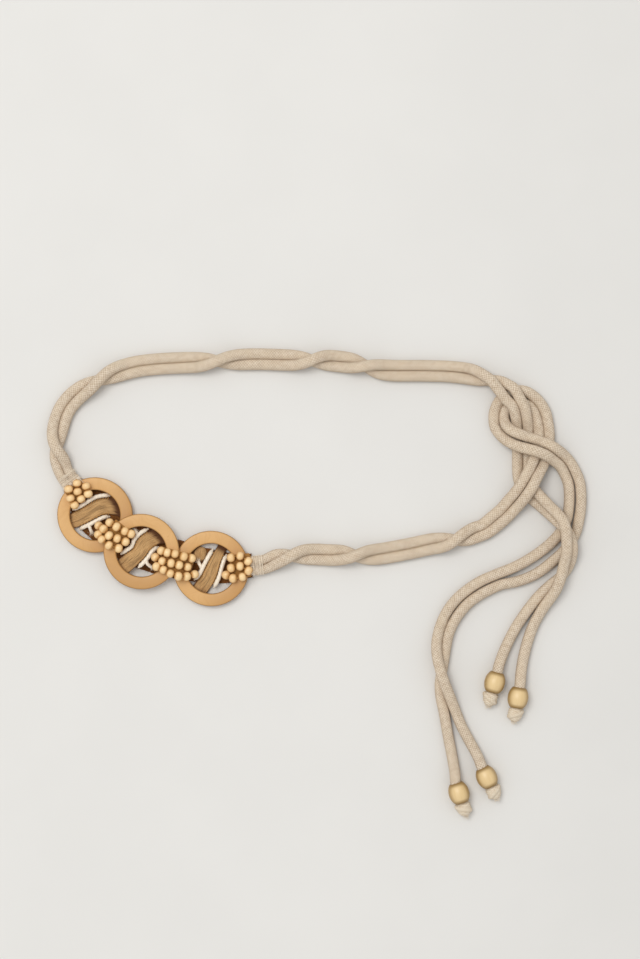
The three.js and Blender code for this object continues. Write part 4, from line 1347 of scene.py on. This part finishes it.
# Strap, side of it, from and to a place along it, rows of a branch from the ring's centre
EDGES = {
    "edge_cord_1_upper": (0, 1, 0.26, 0.73, []),
    "edge_cord_1_lower": (
        0, -1, 0.24, 0.76, [(-0.0055, -0.0066), (-0.0038, -0.0102), (-0.0027, -0.0134)]),
    "edge_cord_2_upper": (
        1, 1, 0.16, 0.76, [(-0.0029, 0.0118), (-0.0037, 0.0138), (-0.0044, 0.016)]),
    "edge_cord_2_lower": (
        1, -1, 0.24, 0.8, [(0.0036, -0.0046), (0.0046, -0.0092), (0.0086, -0.0126)]),
    "edge_cord_3_upper": (
        2, 1, 0.18, 0.84, [(-0.0064, -0.0016), (-0.0084, 0.0022), (-0.0102, 0.0058)]),
    "edge_cord_3_lower": (2, -1, 0.3, 0.86, []),
}
edge_satin = thread_finish("edge_cord", (240, 221, 194), (255, 247, 232), 0.3, 0.4)
for name, (ring, side, start, end, branch) in EDGES.items():
    line = []
    for i in range(CORD_SPANS + 1):
        at, _ = strap_place(ring, start + (end - start) * i / CORD_SPANS, side, CORD_ASIDE)
        line.append(at + UP * CORD_LIFT)
    line[0].z -= CORD_DIVE
    line[-1].z -= CORD_DIVE
    places, _ = even_steps(line, CORD_STEP)
    skins = [twisted(places, CORD_RADIUS, 3, CORD_LAY, 0.55, CORD_SIDES)]
    if branch:
        spur = []
        for x, y in branch:
            height, _ = strap_height(ring, math.hypot(x, y))
            spur.append(Vector((RINGS[ring][0] + x, RINGS[ring][1] + y, height + CORD_LIFT)))
        places, _ = even_steps(spur, CORD_STEP)
        skins.append(twisted(places, SPUR_RADIUS, 3, CORD_LAY, 0.35, CORD_SIDES))
        way = (places[-1] - places[-4]).normalized()
        floss = []
        for _ in range(FLOSS):
            spread = stray(1)
            root, out = places[-3] + spread * 0.0008, (way + spread * 0.7).normalized()
            floss.append(hair(root, out, random.uniform(0.001, 0.0036)))
        skins += above_table(floss)
    piece(f"{name}_satin", skins, edge_satin, name)

# Strap stitches. Dark thread is sewn over both edges of each strap and round its cords, in short
# slanting stitches about 2 mm apart.
STITCH_RADIUS = 0.00034
STITCH_PITCH = 0.0021
STITCH_LAY = 0.0012
# How far a stitch leans, as a share of the strap's length
STITCH_LEAN = 0.012
for number in (1, 2, 3):
    skins = []
    for ring, side, start, end, _ in EDGES.values():
        if ring != number - 1:
            continue
        first, last = strap_place(ring, start, side)[0], strap_place(ring, end, side)[0]
        count = round((last - first).length * 1.06 / STITCH_PITCH)
        for i in range(1, count):
            t = start + (end - start) * i / count
            line = [
                strap_face(ring, t - STITCH_LEAN, side * 0.8)[0] - UP * 0.0002,
                strap_face(ring, t, side * 0.87)[0] + UP * 0.00018,
                strap_face(ring, t + STITCH_LEAN / 2, side * 0.97)[0] + UP * 0.0001,
                strap_place(ring, t + STITCH_LEAN, side, 0.0006)[0] + UP * 0.0001,
            ]
            places, _ = even_steps(line, 0.0004)
            skins.append(twisted(places, STITCH_RADIUS, 2, STITCH_LAY, 0.2, 6))
    piece(f"strap_stitches_{number}", skins, binding_thread)

# Table and light. The belt lies on a plain pale table, with painted light making it a little
# brighter towards the left. A wide soft light stands far off at the upper left, and pale walls light
# the rest.
TABLE_HALF = 4
table, place, _ = finish("table")
speckle_and_painted_light = place.cloud(9, 3).between(0.3, 0.7) * 0.3 + place.parts()[0].between(0.46, 0.08) * 0.7
surface(
    table,
    {"Base Color": speckle_and_painted_light.blend(colour(224, 223, 220), colour(231, 230, 227)), "Roughness": 0.9},
)
floor_mesh = bpy.data.meshes.new("table")
corners = [(x * TABLE_HALF, y * TABLE_HALF, 0) for x, y in ((-1, -1), (1, -1), (1, 1), (-1, 1))]
floor_mesh.from_pydata(corners, [], [(0, 1, 2, 3)])
floor_mesh.materials.append(table)
floor = bpy.data.objects.new("table", floor_mesh)
bpy.context.scene.collection.objects.link(floor)

world = bpy.data.worlds.new("studio")
bpy.context.scene.world = world
world.use_nodes = True
world.node_tree.nodes["Background"].inputs["Color"].default_value = (1, 0.995, 0.985, 1)
world.node_tree.nodes["Background"].inputs["Strength"].default_value = 0.65

lamp = bpy.data.objects.new("softbox", bpy.data.lights.new("softbox", "AREA"))
lamp.data.size = 2.2
lamp.data.energy = 95
lamp.data.color = (1, 0.985, 0.96)
lamp.location = (-1.15, 1.2, 4.45)
lamp.rotation_mode = "QUATERNION"
aim = Vector((0.13, 0.05, 0)) - lamp.location
lamp.rotation_quaternion = aim.to_track_quat("-Z", "Y")
bpy.context.scene.collection.objects.link(lamp)
bpy.context.scene.view_settings.view_transform = "Standard"
